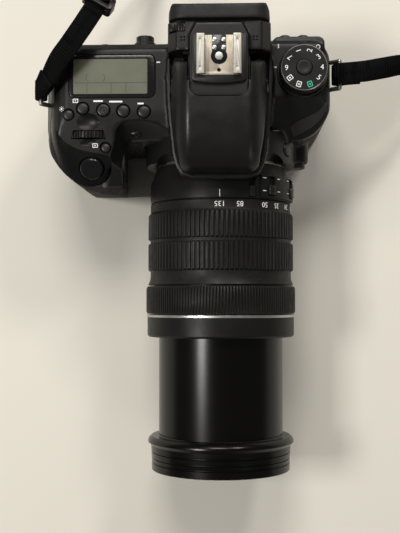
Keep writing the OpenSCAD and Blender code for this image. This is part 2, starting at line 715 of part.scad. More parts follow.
function head_front(d) = [[-head_half - 1 + d, 0], [head_half + 1 - d, 0], [head_half + 1 - d, head_z(0.44)],
    [head_half - 1.6 - d * 0.8, head_z(0.739) - d * 0.6], [head_half - 5 - d * 0.5, head_z(0.94) - d * 0.9],
    [head_half - 8.5, head_top - d], [-head_half + 8.5, head_top - d],
    [-head_half + 5 + d * 0.5, head_z(0.94) - d * 0.9],
    [-head_half + 1.6 + d * 0.8, head_z(0.739) - d * 0.6], [-head_half - 1 + d, head_z(0.44)]];

module flash_head() color([0.07, 0.07, 0.075]) difference() {
    intersection() {
        union() {
            yz(-tongue_half, tongue_half) polygon(concat(head_profile,
                [[tongue_y - tongue_gap - 2.4, head_top - 2.4], [tongue_y - tongue_gap - 2.4, head_bottom]]));
            for (x = [[-head_half - 1, -tongue_half], [tongue_half, head_half + 1]]) {
                yz(x[0], x[1]) polygon(concat(head_profile,
                    [[flash_hinge_y, flash_hinge_z + arm_r], [flash_hinge_y, flash_hinge_z - arm_r],
                    [flash_hinge_y - 3, head_bottom]]));
                bar_x(arm_r, x, flash_hinge_y, flash_hinge_z);
            }
        }
        xz(-100, 100) polygon(head_front(0));
        linear_extrude(head_top + 10) polygon(head_plan(0));
    }
    intersection() {
        yz(-50, 50) polygon(head_inner);
        xz(-100, 100) polygon(head_front(head_wall));
        linear_extrude(head_top + 10) polygon(head_plan(head_wall));
    }
    bar_x(pin_r + pin_gap, [-50, 50], flash_hinge_y, flash_hinge_z);
}

// Dials and buttons of the deck

module power_lever() color([0.08, 0.08, 0.08]) difference() {
    union() {
        bar_z(mode_r + 0.6, mode_at[0], mode_at[1], [side_deck_z + 0.2, side_deck_z + lever_t]);
        box([mode_at[0] - 2, mode_at[0] + 2], [mode_at[1], mode_at[1] + mode_r + 2.4],
            [side_deck_z + 0.2, side_deck_z + lever_t]);
    }
    bar_z(3 + control_gap, mode_at[0], mode_at[1], [0, 200]);
}

mode_bottom = side_deck_z + lever_t + 0.3;
lock_r = 3.6;
lock_travel = 0.8;

module mode_dial() color([0.05, 0.05, 0.05]) difference() {
    union() {
        bar_z(mode_r, mode_at[0], mode_at[1], [mode_bottom, mode_bottom + mode_h - 1]);
        bar_z(mode_r - 1.2, mode_at[0], mode_at[1], [mode_bottom, mode_bottom + mode_h]);
        bar_z(3, mode_at[0], mode_at[1], [side_deck_z - 4, mode_bottom + 1]);
    }
    bar_z(lock_r + control_gap, mode_at[0], mode_at[1], [mode_bottom + mode_h - 4, 200]);
}

module mode_lock_button() color([0.09, 0.09, 0.09])
    bar_z(lock_r, mode_at[0], mode_at[1], [mode_bottom + mode_h - 2.8, mode_bottom + mode_h + 0.7]);

module main_dial() color([0.05, 0.05, 0.05]) {
    bar_y(main_dial_r, main_dial_at[0],
        [main_dial_at[1] - main_dial_w / 2, main_dial_at[1] + main_dial_w / 2], main_dial_z);
    bar_y(axle_r, main_dial_at[0],
        [main_dial_at[1] - main_dial_w / 2 - 2.4, main_dial_at[1] + main_dial_w / 2 + 2.4], main_dial_z);
}

module shutter_button() color([0.03, 0.03, 0.03]) shutter_frame() translate([0, 0, -4.5])
    cylinder(r = shutter_r, h = 6.3);

module top_button(at, top) color([0.1, 0.1, 0.1])
    bar_z(at[2], at[0], at[1], [top - button_len + button_stand, top + button_stand]);

module af_area_button() top_button(af_area_at, slope_z(af_area_at[1]));
module lamp_button() top_button(lamp_at, deck_z);
module metering_button() top_button(metering_at, deck_z);
module iso_button() top_button(iso_at, deck_z);
module drive_button() top_button(drive_at, deck_z);
module focus_mode_button() top_button(focus_mode_at, deck_z);
module flash_button() color([0.1, 0.1, 0.1]) flash_frame() translate([0, 0, button_stand - button_len])
    cylinder(r = flash_button_r, h = button_len);

module dioptre_knob() color([0.05, 0.05, 0.05]) bar_y(dioptre_r, dioptre_x, dioptre_y, dioptre_z);

module lens_release_button() color([0.1, 0.1, 0.1])
    bar_y(release_r, release_at[0], [release_front - 2.6, release_front + 3.5], release_at[1]);

// Back controls

module monitor_hinge() color([0.06, 0.06, 0.06]) {
    bar_z(knuckle_r, monitor_hinge_x, monitor_hinge_y, knuckle_z);
    box([monitor_x[1], monitor_hinge_x], [monitor_hinge_y - 2.2, monitor_hinge_y + 2.2], knuckle_z);
}

module monitor() color([0.03, 0.03, 0.035])
    xz(monitor_in, monitor_out) polygon(round_rect(monitor_x, monitor_z, 3));

module rear_button(at, r, out) color([0.1, 0.1, 0.1])
    bar_y(r, at[0], [back_y - rear_hole + 0.3, back_y + out], at[1]);

module rear_dial() color([0.05, 0.05, 0.05]) difference() {
    bar_y(rear_dial_r, rear_dial_at[0], [back_y - 3.6, back_y + 1.6], rear_dial_at[1]);
    bar_y(set_r + control_gap, rear_dial_at[0], [0, 60], rear_dial_at[1]);
}

module set_button() rear_button(rear_dial_at, set_r, 2.2);
module menu_button() rear_button(menu_at, menu_at[2], ledge_out + 1.6);
module info_button() rear_button(info_at, info_at[2], ledge_out + 1.6);
module live_view_button() rear_button(live_view_at, live_view_at[2], 5.2);
module ae_lock_button() rear_button(ae_lock_at, ae_lock_at[2], 1.4);
module playback_button() rear_button(playback_at, playback_at[2], 1.2);

// Doors

// Each door ends in a barrel with a pin that runs in the cover
module battery_door() color([0.05, 0.05, 0.055]) {
    box([battery_door_x[0], battery_pin[0]], battery_door_y, battery_door_z);
    bar_y(door_barrel_r, battery_pin[0], battery_door_y, battery_pin[1]);
    bar_y(door_pin_r, battery_pin[0], [battery_door_y[0] - door_pin_len + fit, battery_door_y[1] + door_pin_len - fit],
        battery_pin[1]);
}

module door_barrel(at, z) {
    bar_z(door_barrel_r, at[0], at[1], z);
    bar_z(door_pin_r, at[0], at[1], [z[0] - door_pin_len + fit, z[1] + door_pin_len - fit]);
}

module card_door() color([0.06, 0.06, 0.065]) {
    box([-grip_side, -grip_side + wall + rubber_t], [card_y[0], card_pin[1]], card_z);
    door_barrel(card_pin, card_z);
}

module terminal_cover() color([0.08, 0.08, 0.08]) {
    box([dial_side - wall - rubber_t, dial_side], [port_y[0], port_pin[1]], port_z);
    door_barrel(port_pin, port_z);
}

// Strap lugs: loops of wire that stand out of the sides

module lug(x, y, turn, tilt) translate([x, y, lug_z]) rotate([0, 0, turn]) rotate([tilt, 0, 0]) {
    for (side = [-1, 1]) {
        bar_y(lug_wire, side * lug_half, [-2, lug_reach], 0);
        translate([side * lug_half, lug_reach, 0]) sphere(r = lug_wire);
    }
    bar_x(lug_wire, [-lug_half, lug_half], lug_reach, 0);
}

module strap_lugs() color("silver") difference() {
    union() {
        lug(-grip_side + 2.2, lug_grip_y, 90, lug_grip_tilt);
        lug(dial_side - 0.5, lug_dial_y, -90, lug_dial_tilt);
    }
    deck();
}

// Lens

module body_mount_ring() color("silver") tube(mount_bore_r, mount_ring_r, -mount_ring_t, 0);

tail_r = mount_bore_r - ring_gap;
tail_bore_r = tail_r - 4.7;
tail_len = 5;

module lens_mount() color("silver") turned([[tail_bore_r, -tail_len], [tail_r, -tail_len], [tail_r, 0],
    [mount_ring_r - 0.5, 0], [mount_ring_r - 0.5, u_flange], [tail_bore_r, u_flange]]);

// A wedge of the lens between two angles from the top, on the dial side
module lens_sector(from, to) translate([0, 0, axis_z]) xz(-100, 0) polygon([[0, 0],
    60 * [sin(from), cos(from)], 66 * [sin((from + to) / 2), cos((from + to) / 2)], 60 * [sin(to), cos(to)]]);

module on_barrel(angle, u) translate([0, mount_y - u, axis_z]) rotate([0, angle, 0]) children();

module lens_barrel() color([0.05, 0.05, 0.05]) difference() {
    union() {
        turned([[18, u_flange], [31.5, u_flange], [band_r, u_flange + 3], [band_r, u_rear], [core_r, u_rear],
            [core_r, u_collar], [collar_r, u_collar], [collar_r, u_collar_end - 0.8], [collar_r - 0.8, u_collar_end],
            [inner_r + ring_gap, u_collar_end], [inner_r + ring_gap, 10], [18, 10]]);
        intersection() {
            tube(band_r - 2, switch_pad_r, switch_pad_u[0], switch_pad_u[1]);
            lens_sector(33, 88);
        }
    }
    on_barrel(lock_angle, lock_u[1])
        box([-lock_w / 2, lock_w / 2], [0, lock_u[1] - lock_u[0]], [band_r - switch_depth - 0.2, 60]);
    for (angle = switch_angles) on_barrel(angle, switch_u[1])
        box([-switch_w / 2, switch_w / 2], [0, switch_u[1] - switch_u[0]], [switch_pad_r - switch_depth - 0.2, 60]);
}

module switch_knob(angle) color([0.08, 0.08, 0.08]) on_barrel(angle, switch_u[1])
    box([-switch_w / 2 + 0.4, switch_w / 2 - 0.4], [0.5, 0.5 + switch_len],
        [switch_pad_r - switch_depth, switch_pad_r + 1]);

module af_switch() switch_knob(switch_angles[0]);
module stabilizer_switch() switch_knob(switch_angles[1]);

module zoom_lock() color([0.3, 0.3, 0.3]) on_barrel(lock_angle, lock_u[1])
    box([-lock_w / 2 + 0.3, lock_w / 2 - 0.3], [0.3, 0.3 + lock_len], [band_r - switch_depth, band_r + 0.5]);

module zoom_ring() color([0.06, 0.06, 0.06]) turned([[core_r + ring_gap, u_rear + ring_gap],
    [band_r, u_rear + ring_gap], [band_r, u_scale], [zoom_r, u_scale + 0.4], [zoom_r, u_grip], [band_r, u_grip + 0.5],
    [band_r + 0.2, u_zoom_end - 3], [zoom_r, u_zoom_end], [core_r + ring_gap, u_zoom_end]]);

module focus_ring() color([0.05, 0.05, 0.05]) turned([[core_r + ring_gap, u_focus], [focus_r - 0.5, u_focus],
    [focus_r, u_focus + 0.5], [focus_r, u_focus_end - 0.5], [focus_r - 0.5, u_focus_end],
    [core_r + ring_gap, u_focus_end]]);

module inner_barrel() color([0.05, 0.05, 0.05]) turned([[inner_r - inner_wall, u_inner], [inner_r, u_inner],
    [inner_r, u_ring], [flange_r - 1.4, u_ring], [flange_r, u_ring + 2], [flange_r, u_ring + 3],
    [neck_r + 0.4, u_ring + 4.6], [neck_r, u_front - 5], [neck_r - 0.3, u_front - 4], [rim_r, u_front - 3.6],
    [rim_r, u_front], [filter_r, u_front], [filter_r, u_front - thread_len], [inner_r - inner_wall, u_front - 9]]);

module front_element() color([0.2, 0.25, 0.3]) turned([[0, u_ring + 2], [inner_r - inner_wall - fit, u_ring + 2],
    [inner_r - inner_wall - fit, u_ring + 7], [22, u_ring + 9], [12, u_ring + 10.4], [0, u_ring + 11]]);

module rear_element() color([0.2, 0.25, 0.3]) turned([[0, 3.4], [17.8, 4], [17.8, 9.4], [0, 10.6]]);

// Strap: webbing swept along its route

function unit(v) = v / norm(v);
function along(p, i) = unit(p[min(i + 1, len(p) - 1)] - p[max(i - 1, 0)]);
function across(p, w, i) = unit(w[i] - (w[i] * along(p, i)) * along(p, i));
webbing = [for (s = [[1, 0.5], [0.9, 1], [-0.9, 1], [-1, 0.5], [-1, -0.5], [-0.9, -1], [0.9, -1], [1, -0.5]])
    [s[0] * strap_w / 2, s[1] * strap_t / 2]];

module sweep(p, w) {
    sides = len(webbing);
    last = len(p) - 1;
    points = [for (i = [0 : last]) let (a = across(p, w, i), b = cross(along(p, i), a))
        for (s = webbing) p[i] + s[0] * a + s[1] * b];
    walls = [for (i = [0 : last - 1]) for (k = [0 : sides - 1]) let (j = (k + 1) % sides)
        each [[i * sides + k, (i + 1) * sides + j, i * sides + j],
              [i * sides + k, (i + 1) * sides + k, (i + 1) * sides + j]]];
    ends = [[for (k = [0 : sides - 1]) k], [for (k = [sides - 1 : -1 : 0]) last * sides + k]];
    polyhedron(points, concat(walls, ends));
}

module strap_left() color([0.05, 0.05, 0.05]) sweep(left_route, left_width);
module strap_right() color([0.05, 0.05, 0.05]) sweep(right_route, right_width);

module strap_hank() color([0.05, 0.05, 0.05]) linear_extrude(hank_h) polygon(round_rect(hank_x, hank_y, 12));

// The slider sits square to the webbing at one point of the left route
module strap_slider() color([0.04, 0.04, 0.04]) {
    i = slider_point;
    t = along(left_route, i);
    a = across(left_route, left_width, i);
    b = cross(t, a);
    p = left_route[i];
    multmatrix([[a[0], t[0], b[0], p[0]], [a[1], t[1], b[1], p[1]], [a[2], t[2], b[2], p[2]], [0, 0, 0, 1]])
        difference() {
            translate(-slider_size / 2) cube(slider_size);
            translate([-strap_w / 2 - 0.4, -20, -slider_slot / 2]) cube([strap_w + 0.8, 40, slider_slot]);
        }
}

front_cover();
top_cover();
rear_cover();
base_cover();
rubber_skins();
hot_shoe();
shoe_contacts();
status_display();
body_mount_ring();
mirror_box();
eyecup();
eyepiece_lens();
pentaprism();
image_sensor();
shutter_unit();
battery();
strap_lugs();
cover_screws();
flash_head();
mode_dial();
mode_lock_button();
power_lever();
main_dial();
shutter_button();
af_area_button();
lamp_button();
metering_button();
iso_button();
drive_button();
focus_mode_button();
dioptre_knob();
lens_release_button();
flash_button();
monitor_hinge();
monitor();
rear_dial();
set_button();
menu_button();
info_button();
live_view_button();
ae_lock_button();
playback_button();
reflex_mirror();
battery_door();
card_door();
terminal_cover();
lens_mount();
lens_barrel();
zoom_ring();
focus_ring();
inner_barrel();
front_element();
rear_element();
af_switch();
stabilizer_switch();
zoom_lock();
strap_left();
strap_right();
strap_hank();
strap_slider();
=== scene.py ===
"""Looks of a single-lens reflex camera with a zoom lens drawn out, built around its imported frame.

Lengths are written in millimetres and become metres where a point is placed.
"""
from __future__ import annotations

import json
import logging
import math
from collections.abc import Callable, Iterator, Sequence
from contextlib import contextmanager
from dataclasses import dataclass
from enum import Enum

import bpy
from mathutils import Matrix, Vector

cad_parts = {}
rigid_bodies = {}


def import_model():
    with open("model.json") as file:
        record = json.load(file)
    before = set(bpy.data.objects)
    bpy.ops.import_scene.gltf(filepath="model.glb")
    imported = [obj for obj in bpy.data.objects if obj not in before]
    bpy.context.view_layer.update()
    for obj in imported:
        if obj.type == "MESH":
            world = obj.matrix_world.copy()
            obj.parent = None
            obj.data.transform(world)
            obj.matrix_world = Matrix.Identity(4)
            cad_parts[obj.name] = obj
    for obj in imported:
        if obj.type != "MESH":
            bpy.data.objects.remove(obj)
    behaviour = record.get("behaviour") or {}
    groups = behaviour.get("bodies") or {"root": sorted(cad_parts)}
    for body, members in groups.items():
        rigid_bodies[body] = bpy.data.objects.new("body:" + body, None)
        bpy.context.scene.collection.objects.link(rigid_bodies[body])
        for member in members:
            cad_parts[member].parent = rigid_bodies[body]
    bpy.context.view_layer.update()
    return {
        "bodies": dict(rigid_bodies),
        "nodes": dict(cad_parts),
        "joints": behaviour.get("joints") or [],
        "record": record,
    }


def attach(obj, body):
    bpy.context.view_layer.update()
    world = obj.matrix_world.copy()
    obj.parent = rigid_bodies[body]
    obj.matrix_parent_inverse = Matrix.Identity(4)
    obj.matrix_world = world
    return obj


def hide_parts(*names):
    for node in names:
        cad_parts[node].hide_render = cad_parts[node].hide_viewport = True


LOG = logging.getLogger("camera")
MM = 0.001

Flat = tuple[float, float]
Colour = tuple[float, float, float]
Solid = bpy.types.Object

UP = Vector((0, 0, 1))
BACK = Vector((0, 1, 0))
RIGHT = Vector((1, 0, 0))
WIDE = (-200, 200)


class Plane(Enum):
    """Plane that an outline is drawn in; it is drawn out along the third axis."""

    XY = (0, 1, 2)
    XZ = (0, 2, 1)
    YZ = (1, 2, 0)

    def spot(self, a: float, b: float, depth: float) -> Vector:
        """Returns the point at a, b and depth, in metres."""
        point = Vector((0, 0, 0))
        for index, value in zip(self.value, (a, b, depth)):
            point[index] = value * MM
        return point


class Join(Enum):
    """What a Boolean cut leaves of the piece."""

    AWAY = "DIFFERENCE"
    COMMON = "INTERSECT"
    ADD = "UNION"


def deselect() -> None:
    """Leaves nothing selected."""
    bpy.ops.object.select_all(action="DESELECT")


def pick(*objects: Solid) -> None:
    """Selects the objects alone and makes the first one active."""
    deselect()
    for each in objects:
        each.select_set(True)
    bpy.context.view_layer.objects.active = objects[0]


@contextmanager
def editing(obj: Solid) -> Iterator[None]:
    """Opens the object in edit mode with its whole mesh selected."""
    pick(obj)
    bpy.ops.object.mode_set(mode="EDIT")
    bpy.ops.mesh.select_all(action="SELECT")
    yield
    bpy.ops.object.mode_set(mode="OBJECT")


def named(name: str) -> Solid:
    """Returns the object that was just added, under its new name."""
    obj = bpy.context.object
    obj.name = name
    obj.data.name = name
    return obj


def close_mesh(obj: Solid, gap: float = 0.002) -> Solid:
    """Merges doubled points and turns the faces outwards."""
    with editing(obj):
        bpy.ops.mesh.remove_doubles(threshold=gap * MM)
        bpy.ops.mesh.delete_loose()
        bpy.ops.mesh.select_all(action="SELECT")
        bpy.ops.mesh.normals_make_consistent(inside=False)
    return obj


def apply(obj: Solid, modifier: bpy.types.Modifier) -> Solid:
    """Applies one modifier and returns the object."""
    pick(obj)
    bpy.ops.object.modifier_apply(modifier=modifier.name)
    return obj


def prism(name: str, outline: Sequence[Flat], plane: Plane, low: float, high: float) -> Solid:
    """Draws an outline out into a solid."""
    deselect()
    bpy.ops.mesh.primitive_circle_add(vertices=len(outline), radius=MM, fill_type="NGON")
    obj = named(name)
    for vertex, (a, b) in zip(obj.data.vertices, outline):
        vertex.co = plane.spot(a, b, low)
    with editing(obj):
        bpy.ops.mesh.extrude_region_move(TRANSFORM_OT_translate={"value": plane.spot(0, 0, high - low)})
        bpy.ops.mesh.select_all(action="SELECT")
        bpy.ops.mesh.normals_make_consistent(inside=False)
    return obj


def block(name: str, x: Flat, y: Flat, z: Flat) -> Solid:
    """Returns a box that spans the three ranges."""
    return prism(name, [(x[0], y[0]), (x[1], y[0]), (x[1], y[1]), (x[0], y[1])], Plane.XY, *z)


def rod(name: str, radius: float, start: Vector, way: Vector, sides: int = 48) -> Solid:
    """Returns a round bar from start along way, whose length is the bar's."""
    return turned(name, [(0, 0), (radius, 0), (radius, way.length), (0, way.length)], start, way.normalized(),
                  sides)


def turned(name: str, profile: Sequence[Flat], centre: Vector, axis: Vector, steps: int = 64) -> Solid:
    """Spins a closed profile round an axis."""
    deselect()
    bpy.ops.mesh.primitive_circle_add(vertices=len(profile), radius=MM, fill_type="NOTHING")
    obj = named(name)
    side = axis.orthogonal().normalized()
    for vertex, (radius, height) in zip(obj.data.vertices, profile):
        vertex.co = (centre + axis * height + side * radius) * MM
    with editing(obj):
        bpy.ops.mesh.spin(steps=steps, angle=math.tau, center=centre * MM, axis=axis)
    return close_mesh(obj)


def loft(name: str, columns: int, rows: int, place: Callable[[float, float], Vector]) -> Solid:
    """Lays a grid over a surface and merges the edges that meet."""
    deselect()
    bpy.ops.mesh.primitive_grid_add(x_subdivisions=columns, y_subdivisions=rows, size=MM)
    obj = named(name)
    across = columns + 1
    for vertex in obj.data.vertices:
        point = place((vertex.index % across) / columns, (vertex.index // across) / rows)
        vertex.co = Vector(point) * MM
    return close_mesh(obj)


def cut(target: Solid, *tools: Solid, join: Join = Join.AWAY) -> Solid:
    """Cuts the target with each tool in turn and deletes the tools."""
    for tool in tools:
        modifier = target.modifiers.new("cut", "BOOLEAN")
        modifier.operation = join.value
        modifier.object = tool
        modifier.solver = "MANIFOLD"
        apply(target, modifier)
        bpy.data.objects.remove(tool, do_unlink=True)
    return target


def merge(name: str, *parts: Solid) -> Solid:
    """Joins the parts into one object under a new name."""
    pick(*parts)
    bpy.ops.object.join()
    return named(name)


def knead(obj: Solid, voxel: float, passes: int) -> Solid:
    """Makes overlapping solids one skin and rounds its edges."""
    remesh = obj.modifiers.new("skin", "REMESH")
    remesh.mode = "VOXEL"
    remesh.voxel_size = voxel * MM
    apply(obj, remesh)
    return soften(obj, passes)


def soften(obj: Solid, passes: int) -> Solid:
    """Rounds the mesh by passes of smoothing and returns it."""
    smooth = obj.modifiers.new("smooth", "SMOOTH")
    smooth.factor = 0.5
    smooth.iterations = passes
    return apply(obj, smooth)


def round_edges(obj: Solid, width: float, segments: int = 3, angle: float = 30) -> Solid:
    """Bevels the edges that are sharper than an angle."""
    bevel = obj.modifiers.new("round", "BEVEL")
    bevel.width = width * MM
    bevel.segments = segments
    bevel.limit_method = "ANGLE"
    bevel.angle_limit = math.radians(angle)
    return apply(obj, bevel)


def arc(centre: Flat, radius: float, start: float, end: float, steps: int = 8) -> list[Flat]:
    """Returns points on an arc between two angles in degrees."""
    turn = [math.radians(start + (end - start) * i / steps) for i in range(steps + 1)]
    return [(centre[0] + radius * math.cos(t), centre[1] + radius * math.sin(t)) for t in turn]


def round_rect(x: Flat, y: Flat, radius: float, steps: int = 6) -> list[Flat]:
    """Returns the outline of a rectangle with round corners."""
    return (
        arc((x[1] - radius, y[1] - radius), radius, 0, 90, steps)
        + arc((x[0] + radius, y[1] - radius), radius, 90, 180, steps)
        + arc((x[0] + radius, y[0] + radius), radius, 180, 270, steps)
        + arc((x[1] - radius, y[0] + radius), radius, 270, 360, steps)
    )


INK_LAYER = (Plane.XY, -0.2, 0.04)


def both_sides(half: Sequence[Flat]) -> list[Flat]:
    """Returns half an outline that ends on the middle line, with its mirror image."""
    return [*half, *[(-a, b) for a, b in half[-2::-1]]]


def toothed(name: str, section: Sequence[tuple], teeth: int, steps: int, power: float,
            place: Callable[[float, float, float], Vector]) -> Solid:
    """Returns a toothed wheel from rows of radius, height and how far the gaps draw each back."""

    def point(around: float, step: float) -> Vector:
        radius, height, gap, dip = section[round(step * (len(section) - 1))]
        low = 1 - max(0.0, math.cos(around * teeth * math.tau)) ** power
        turn = around * math.tau
        radius -= gap * low
        return place(radius * math.cos(turn), radius * math.sin(turn), height - dip * low)

    return loft(name, teeth * steps, len(section) - 1, point)


def framed_dot(name: str, half: Flat, corner: float, dot: float, span: tuple) -> Solid:
    """Returns a plain framed rectangle with a dot in its middle."""
    (x, y), wall = half, 0.35
    frame = prism(name, round_rect((-x, x), (-y, y), corner), *span)
    room = round_rect((wall - x, x - wall), (wall - y, y - wall), corner - 0.15)
    cut(frame, prism("frame_room", room, Plane.XY, -1, 1))
    return merge(name, frame, prism("dot", arc((0, 0), dot, 0, 330, 11), *span))


def mount_rooms(depth: float) -> list[Solid]:
    """Returns the solids that free the bore of the lens mount and the seat of its ring."""
    start = Vector((0, -70, BODY.axis_z))
    return [rod("mount_bore", 27.0, start, BACK * depth, 96), rod("ring_seat", 32.7, start, BACK * 39, 96)]


class Shader:
    """A material's node tree around one Principled surface."""

    def __init__(self, name: str) -> None:
        """Starts an empty material."""
        self.material = bpy.data.materials.new(name)
        self.material.use_nodes = True
        self.tree = self.material.node_tree
        self.surface = self.tree.nodes["Principled BSDF"]
        self.place = self.add("ShaderNodeTexCoord").outputs["Object"]

    def add(self, kind: str, **inputs: object) -> bpy.types.Node:
        """Returns a new node with its input values set."""
        node = self.tree.nodes.new(kind)
        for key, value in inputs.items():
            node.inputs[key].default_value = value
        return node

    def link(self, source: bpy.types.NodeSocket, target: bpy.types.NodeSocket) -> None:
        """Joins two sockets."""
        self.tree.links.new(source, target)

    def stretched(self, x: float, y: float, z: float) -> bpy.types.NodeSocket:
        """Returns the object's coordinates, scaled by axis."""
        mapping = self.add("ShaderNodeMapping", Scale=(x, y, z))
        self.link(self.place, mapping.inputs["Vector"])
        return mapping.outputs["Vector"]

    def noise(self, size: float, detail: float = 2, vector: bpy.types.NodeSocket | None = None):
        """Returns the value of a noise."""
        node = self.add("ShaderNodeTexNoise", Scale=1 / (size * MM), Detail=detail)
        self.link(vector or self.place, node.inputs["Vector"])
        return node.outputs["Fac"]

    def cells(self, size: float, feature: str = "DISTANCE_TO_EDGE"):
        """Returns the distance in a cell pattern whose cells have that size in millimetres."""
        node = self.add("ShaderNodeTexVoronoi", Scale=1 / (size * MM))
        node.feature = feature
        self.link(self.place, node.inputs["Vector"])
        return node.outputs["Distance"]

    def spread(self, value: bpy.types.NodeSocket, low: float, high: float, start: float = 0.3,
               end: float = 0.7):
        """Returns the value mapped from start and end to low and high."""
        node = self.add("ShaderNodeMapRange")
        for key, number in (("From Min", start), ("From Max", end), ("To Min", low), ("To Max", high)):
            node.inputs[key].default_value = number
        self.link(value, node.inputs["Value"])
        return node.outputs["Result"]

    def blend(self, value: bpy.types.NodeSocket, first: Colour, second: Colour):
        """Returns a colour between two, by a value."""
        node = self.tree.nodes.new("ShaderNodeMix")
        node.data_type = "RGBA"
        node.inputs[6].default_value = (*first, 1)
        node.inputs[7].default_value = (*second, 1)
        self.link(value, node.inputs["Factor"])
        return node.outputs[2]

    def relief(self, height: bpy.types.NodeSocket, depth: float, strength: float, after=None):
        """Returns a bumped normal."""
        node = self.add("ShaderNodeBump", Strength=strength, Distance=depth * MM)
        self.link(height, node.inputs["Height"])
        if after is not None:
            self.link(after, node.inputs["Normal"])
        return node.outputs["Normal"]

    def feed(self, **sockets: bpy.types.NodeSocket) -> None:
        """Links sockets into the surface, by the name of its input with _ for a space."""
        for key, socket in sockets.items():
            self.link(socket, self.surface.inputs[key.replace("_", " ")])

    def set(self, **values: object) -> None:
        """Sets plain values on the surface, by the name of its input with _ for a space."""
        for key, value in values.items():
            self.surface.inputs[key.replace("_", " ")].default_value = value


@dataclass(frozen=True)
class Finish:
    """A finish of the camera, made into a material once."""

    name: str

    def material(self) -> bpy.types.Material:
        """Returns the finish's material."""
        found = bpy.data.materials.get(self.name)
        if found:
            return found
        shader = Shader(self.name)
        self.paint(shader)
        return shader.material

    def paint(self, shader: Shader) -> None:
        """Fills the node tree."""


@dataclass(frozen=True)
class MouldedPlastic(Finish):
    """Black plastic with a fine spark-eroded grain."""

    colour: Colour = (0.0062, 0.0062, 0.006)
    roughness: float = 0.4
    grain: float = 0.32
    depth: float = 0.05
    strength: float = 0.5
    specular: float = 0.27
    mottle: float = 0.05

    def paint(self, shader: Shader) -> None:
        """Fills the node tree: grain, faint mottling and worn gloss."""
        wide = shader.noise(18, 3)
        fine = shader.noise(self.grain, 2)
        low = tuple(c * 0.85 for c in self.colour)
        high = tuple(c * 1.2 for c in self.colour)
        shader.feed(
            Base_Color=shader.blend(wide, low, high),
            Roughness=shader.spread(shader.noise(7, 4), self.roughness - self.mottle,
                                    self.roughness + self.mottle),
            Normal=shader.relief(fine, self.depth, self.strength),
        )
        shader.set(Specular_IOR_Level=self.specular)


@dataclass(frozen=True)
class LeatherRubber(Finish):
    """Moulded rubber with a leather grain."""

    colour: Colour = (0.0125, 0.012, 0.011)
    cell: float = 0.95

    def paint(self, shader: Shader) -> None:
        """Fills the node tree: pebbles, painted shade that darkens their creases and painted light on their
        tops, and fine crumbs in the bump.
        """
        pebbles = shader.cells(self.cell, "SMOOTH_F1")
        crumbs = shader.noise(0.28, 2)
        normal = shader.relief(pebbles, -0.32, 0.9)
        # Base colour is painted shade and light: darker in the creases between pebbles, lighter on the
        # pebbles' tops.
        shader.feed(
            Base_Color=shader.blend(
                shader.spread(pebbles, 0, 1, 0.1, 0.75),
                tuple(c * 1.5 for c in self.colour),
                tuple(c * 0.5 for c in self.colour),
            ),
            Roughness=shader.spread(shader.noise(3, 3), 0.58, 0.8),
            Normal=shader.relief(crumbs, 0.06, 0.5, normal),
        )
        shader.set(Specular_IOR_Level=0.28)


@dataclass(frozen=True)
class SoftRubber(Finish):
    """Matt rubber of the lens rings and the eyecup."""

    colour: Colour = (0.0085, 0.0085, 0.008)
    roughness: float = 0.52
    specular: float = 0.28

    def paint(self, shader: Shader) -> None:
        """Fills the node tree: a skin with faint dust."""
        dust = shader.noise(1.4, 5)
        shader.feed(
            Base_Color=shader.blend(
                shader.spread(dust, 0, 1, 0.55, 0.8), self.colour, tuple(c * 1.9 for c in self.colour)
            ),
            Roughness=shader.spread(shader.noise(5, 3), self.roughness - 0.08, self.roughness + 0.1),
            Normal=shader.relief(shader.noise(0.22, 2), 0.03, 0.4),
        )
        shader.set(Specular_IOR_Level=self.specular)


@dataclass(frozen=True)
class GlossPlastic(Finish):
    """Polished black plastic with hairline scuffs."""

    colour: Colour = (0.006, 0.006, 0.0065)
    roughness: float = 0.16

    def paint(self, shader: Shader) -> None:
        """Fills the node tree: smears in the gloss and a few hairlines."""
        hairs = shader.noise(0.5, 2, shader.stretched(0.15, 1.6, 1))
        shader.feed(
            Base_Color=shader.blend(shader.noise(25, 2), self.colour, tuple(c * 1.5 for c in self.colour)),
            Roughness=shader.spread(hairs, self.roughness, self.roughness + 0.12, 0.4, 0.8),
            Normal=shader.relief(shader.noise(0.6, 2), 0.01, 0.25),
        )
        shader.set(Specular_IOR_Level=0.32)


@dataclass(frozen=True)
class Steel(Finish):
    """Bare or plated metal with a brushed grain along one axis."""

    colour: Colour = (0.62, 0.6, 0.56)
    roughness: float = 0.34
    along: Colour = (0.12, 1.6, 1)
    metallic: float = 1.0
    brush: float = 0.3

    def paint(self, shader: Shader) -> None:
        """Fills the node tree: brush lines, tarnish and uneven gloss."""
        lines = shader.noise(0.5, 3, shader.stretched(*self.along))
        shader.feed(
            Base_Color=shader.blend(
                shader.noise(4, 4), tuple(c * 0.8 for c in self.colour),
                tuple(min(c * 1.12, 1) for c in self.colour)
            ),
            Roughness=shader.spread(lines, self.roughness - 0.1, self.roughness + 0.12),
            Normal=shader.relief(lines, 0.02, self.brush),
        )
        shader.set(Metallic=self.metallic)


@dataclass(frozen=True)
class Ink(Finish):
    """Printed mark."""

    colour: Colour = (0.8, 0.8, 0.78)

    def paint(self, shader: Shader) -> None:
        """Fills the node tree: slightly uneven ink."""
        shader.feed(
            Base_Color=shader.blend(shader.noise(0.6, 3), tuple(c * 0.86 for c in self.colour), self.colour),
            Roughness=shader.spread(shader.noise(2, 2), 0.42, 0.6),
        )


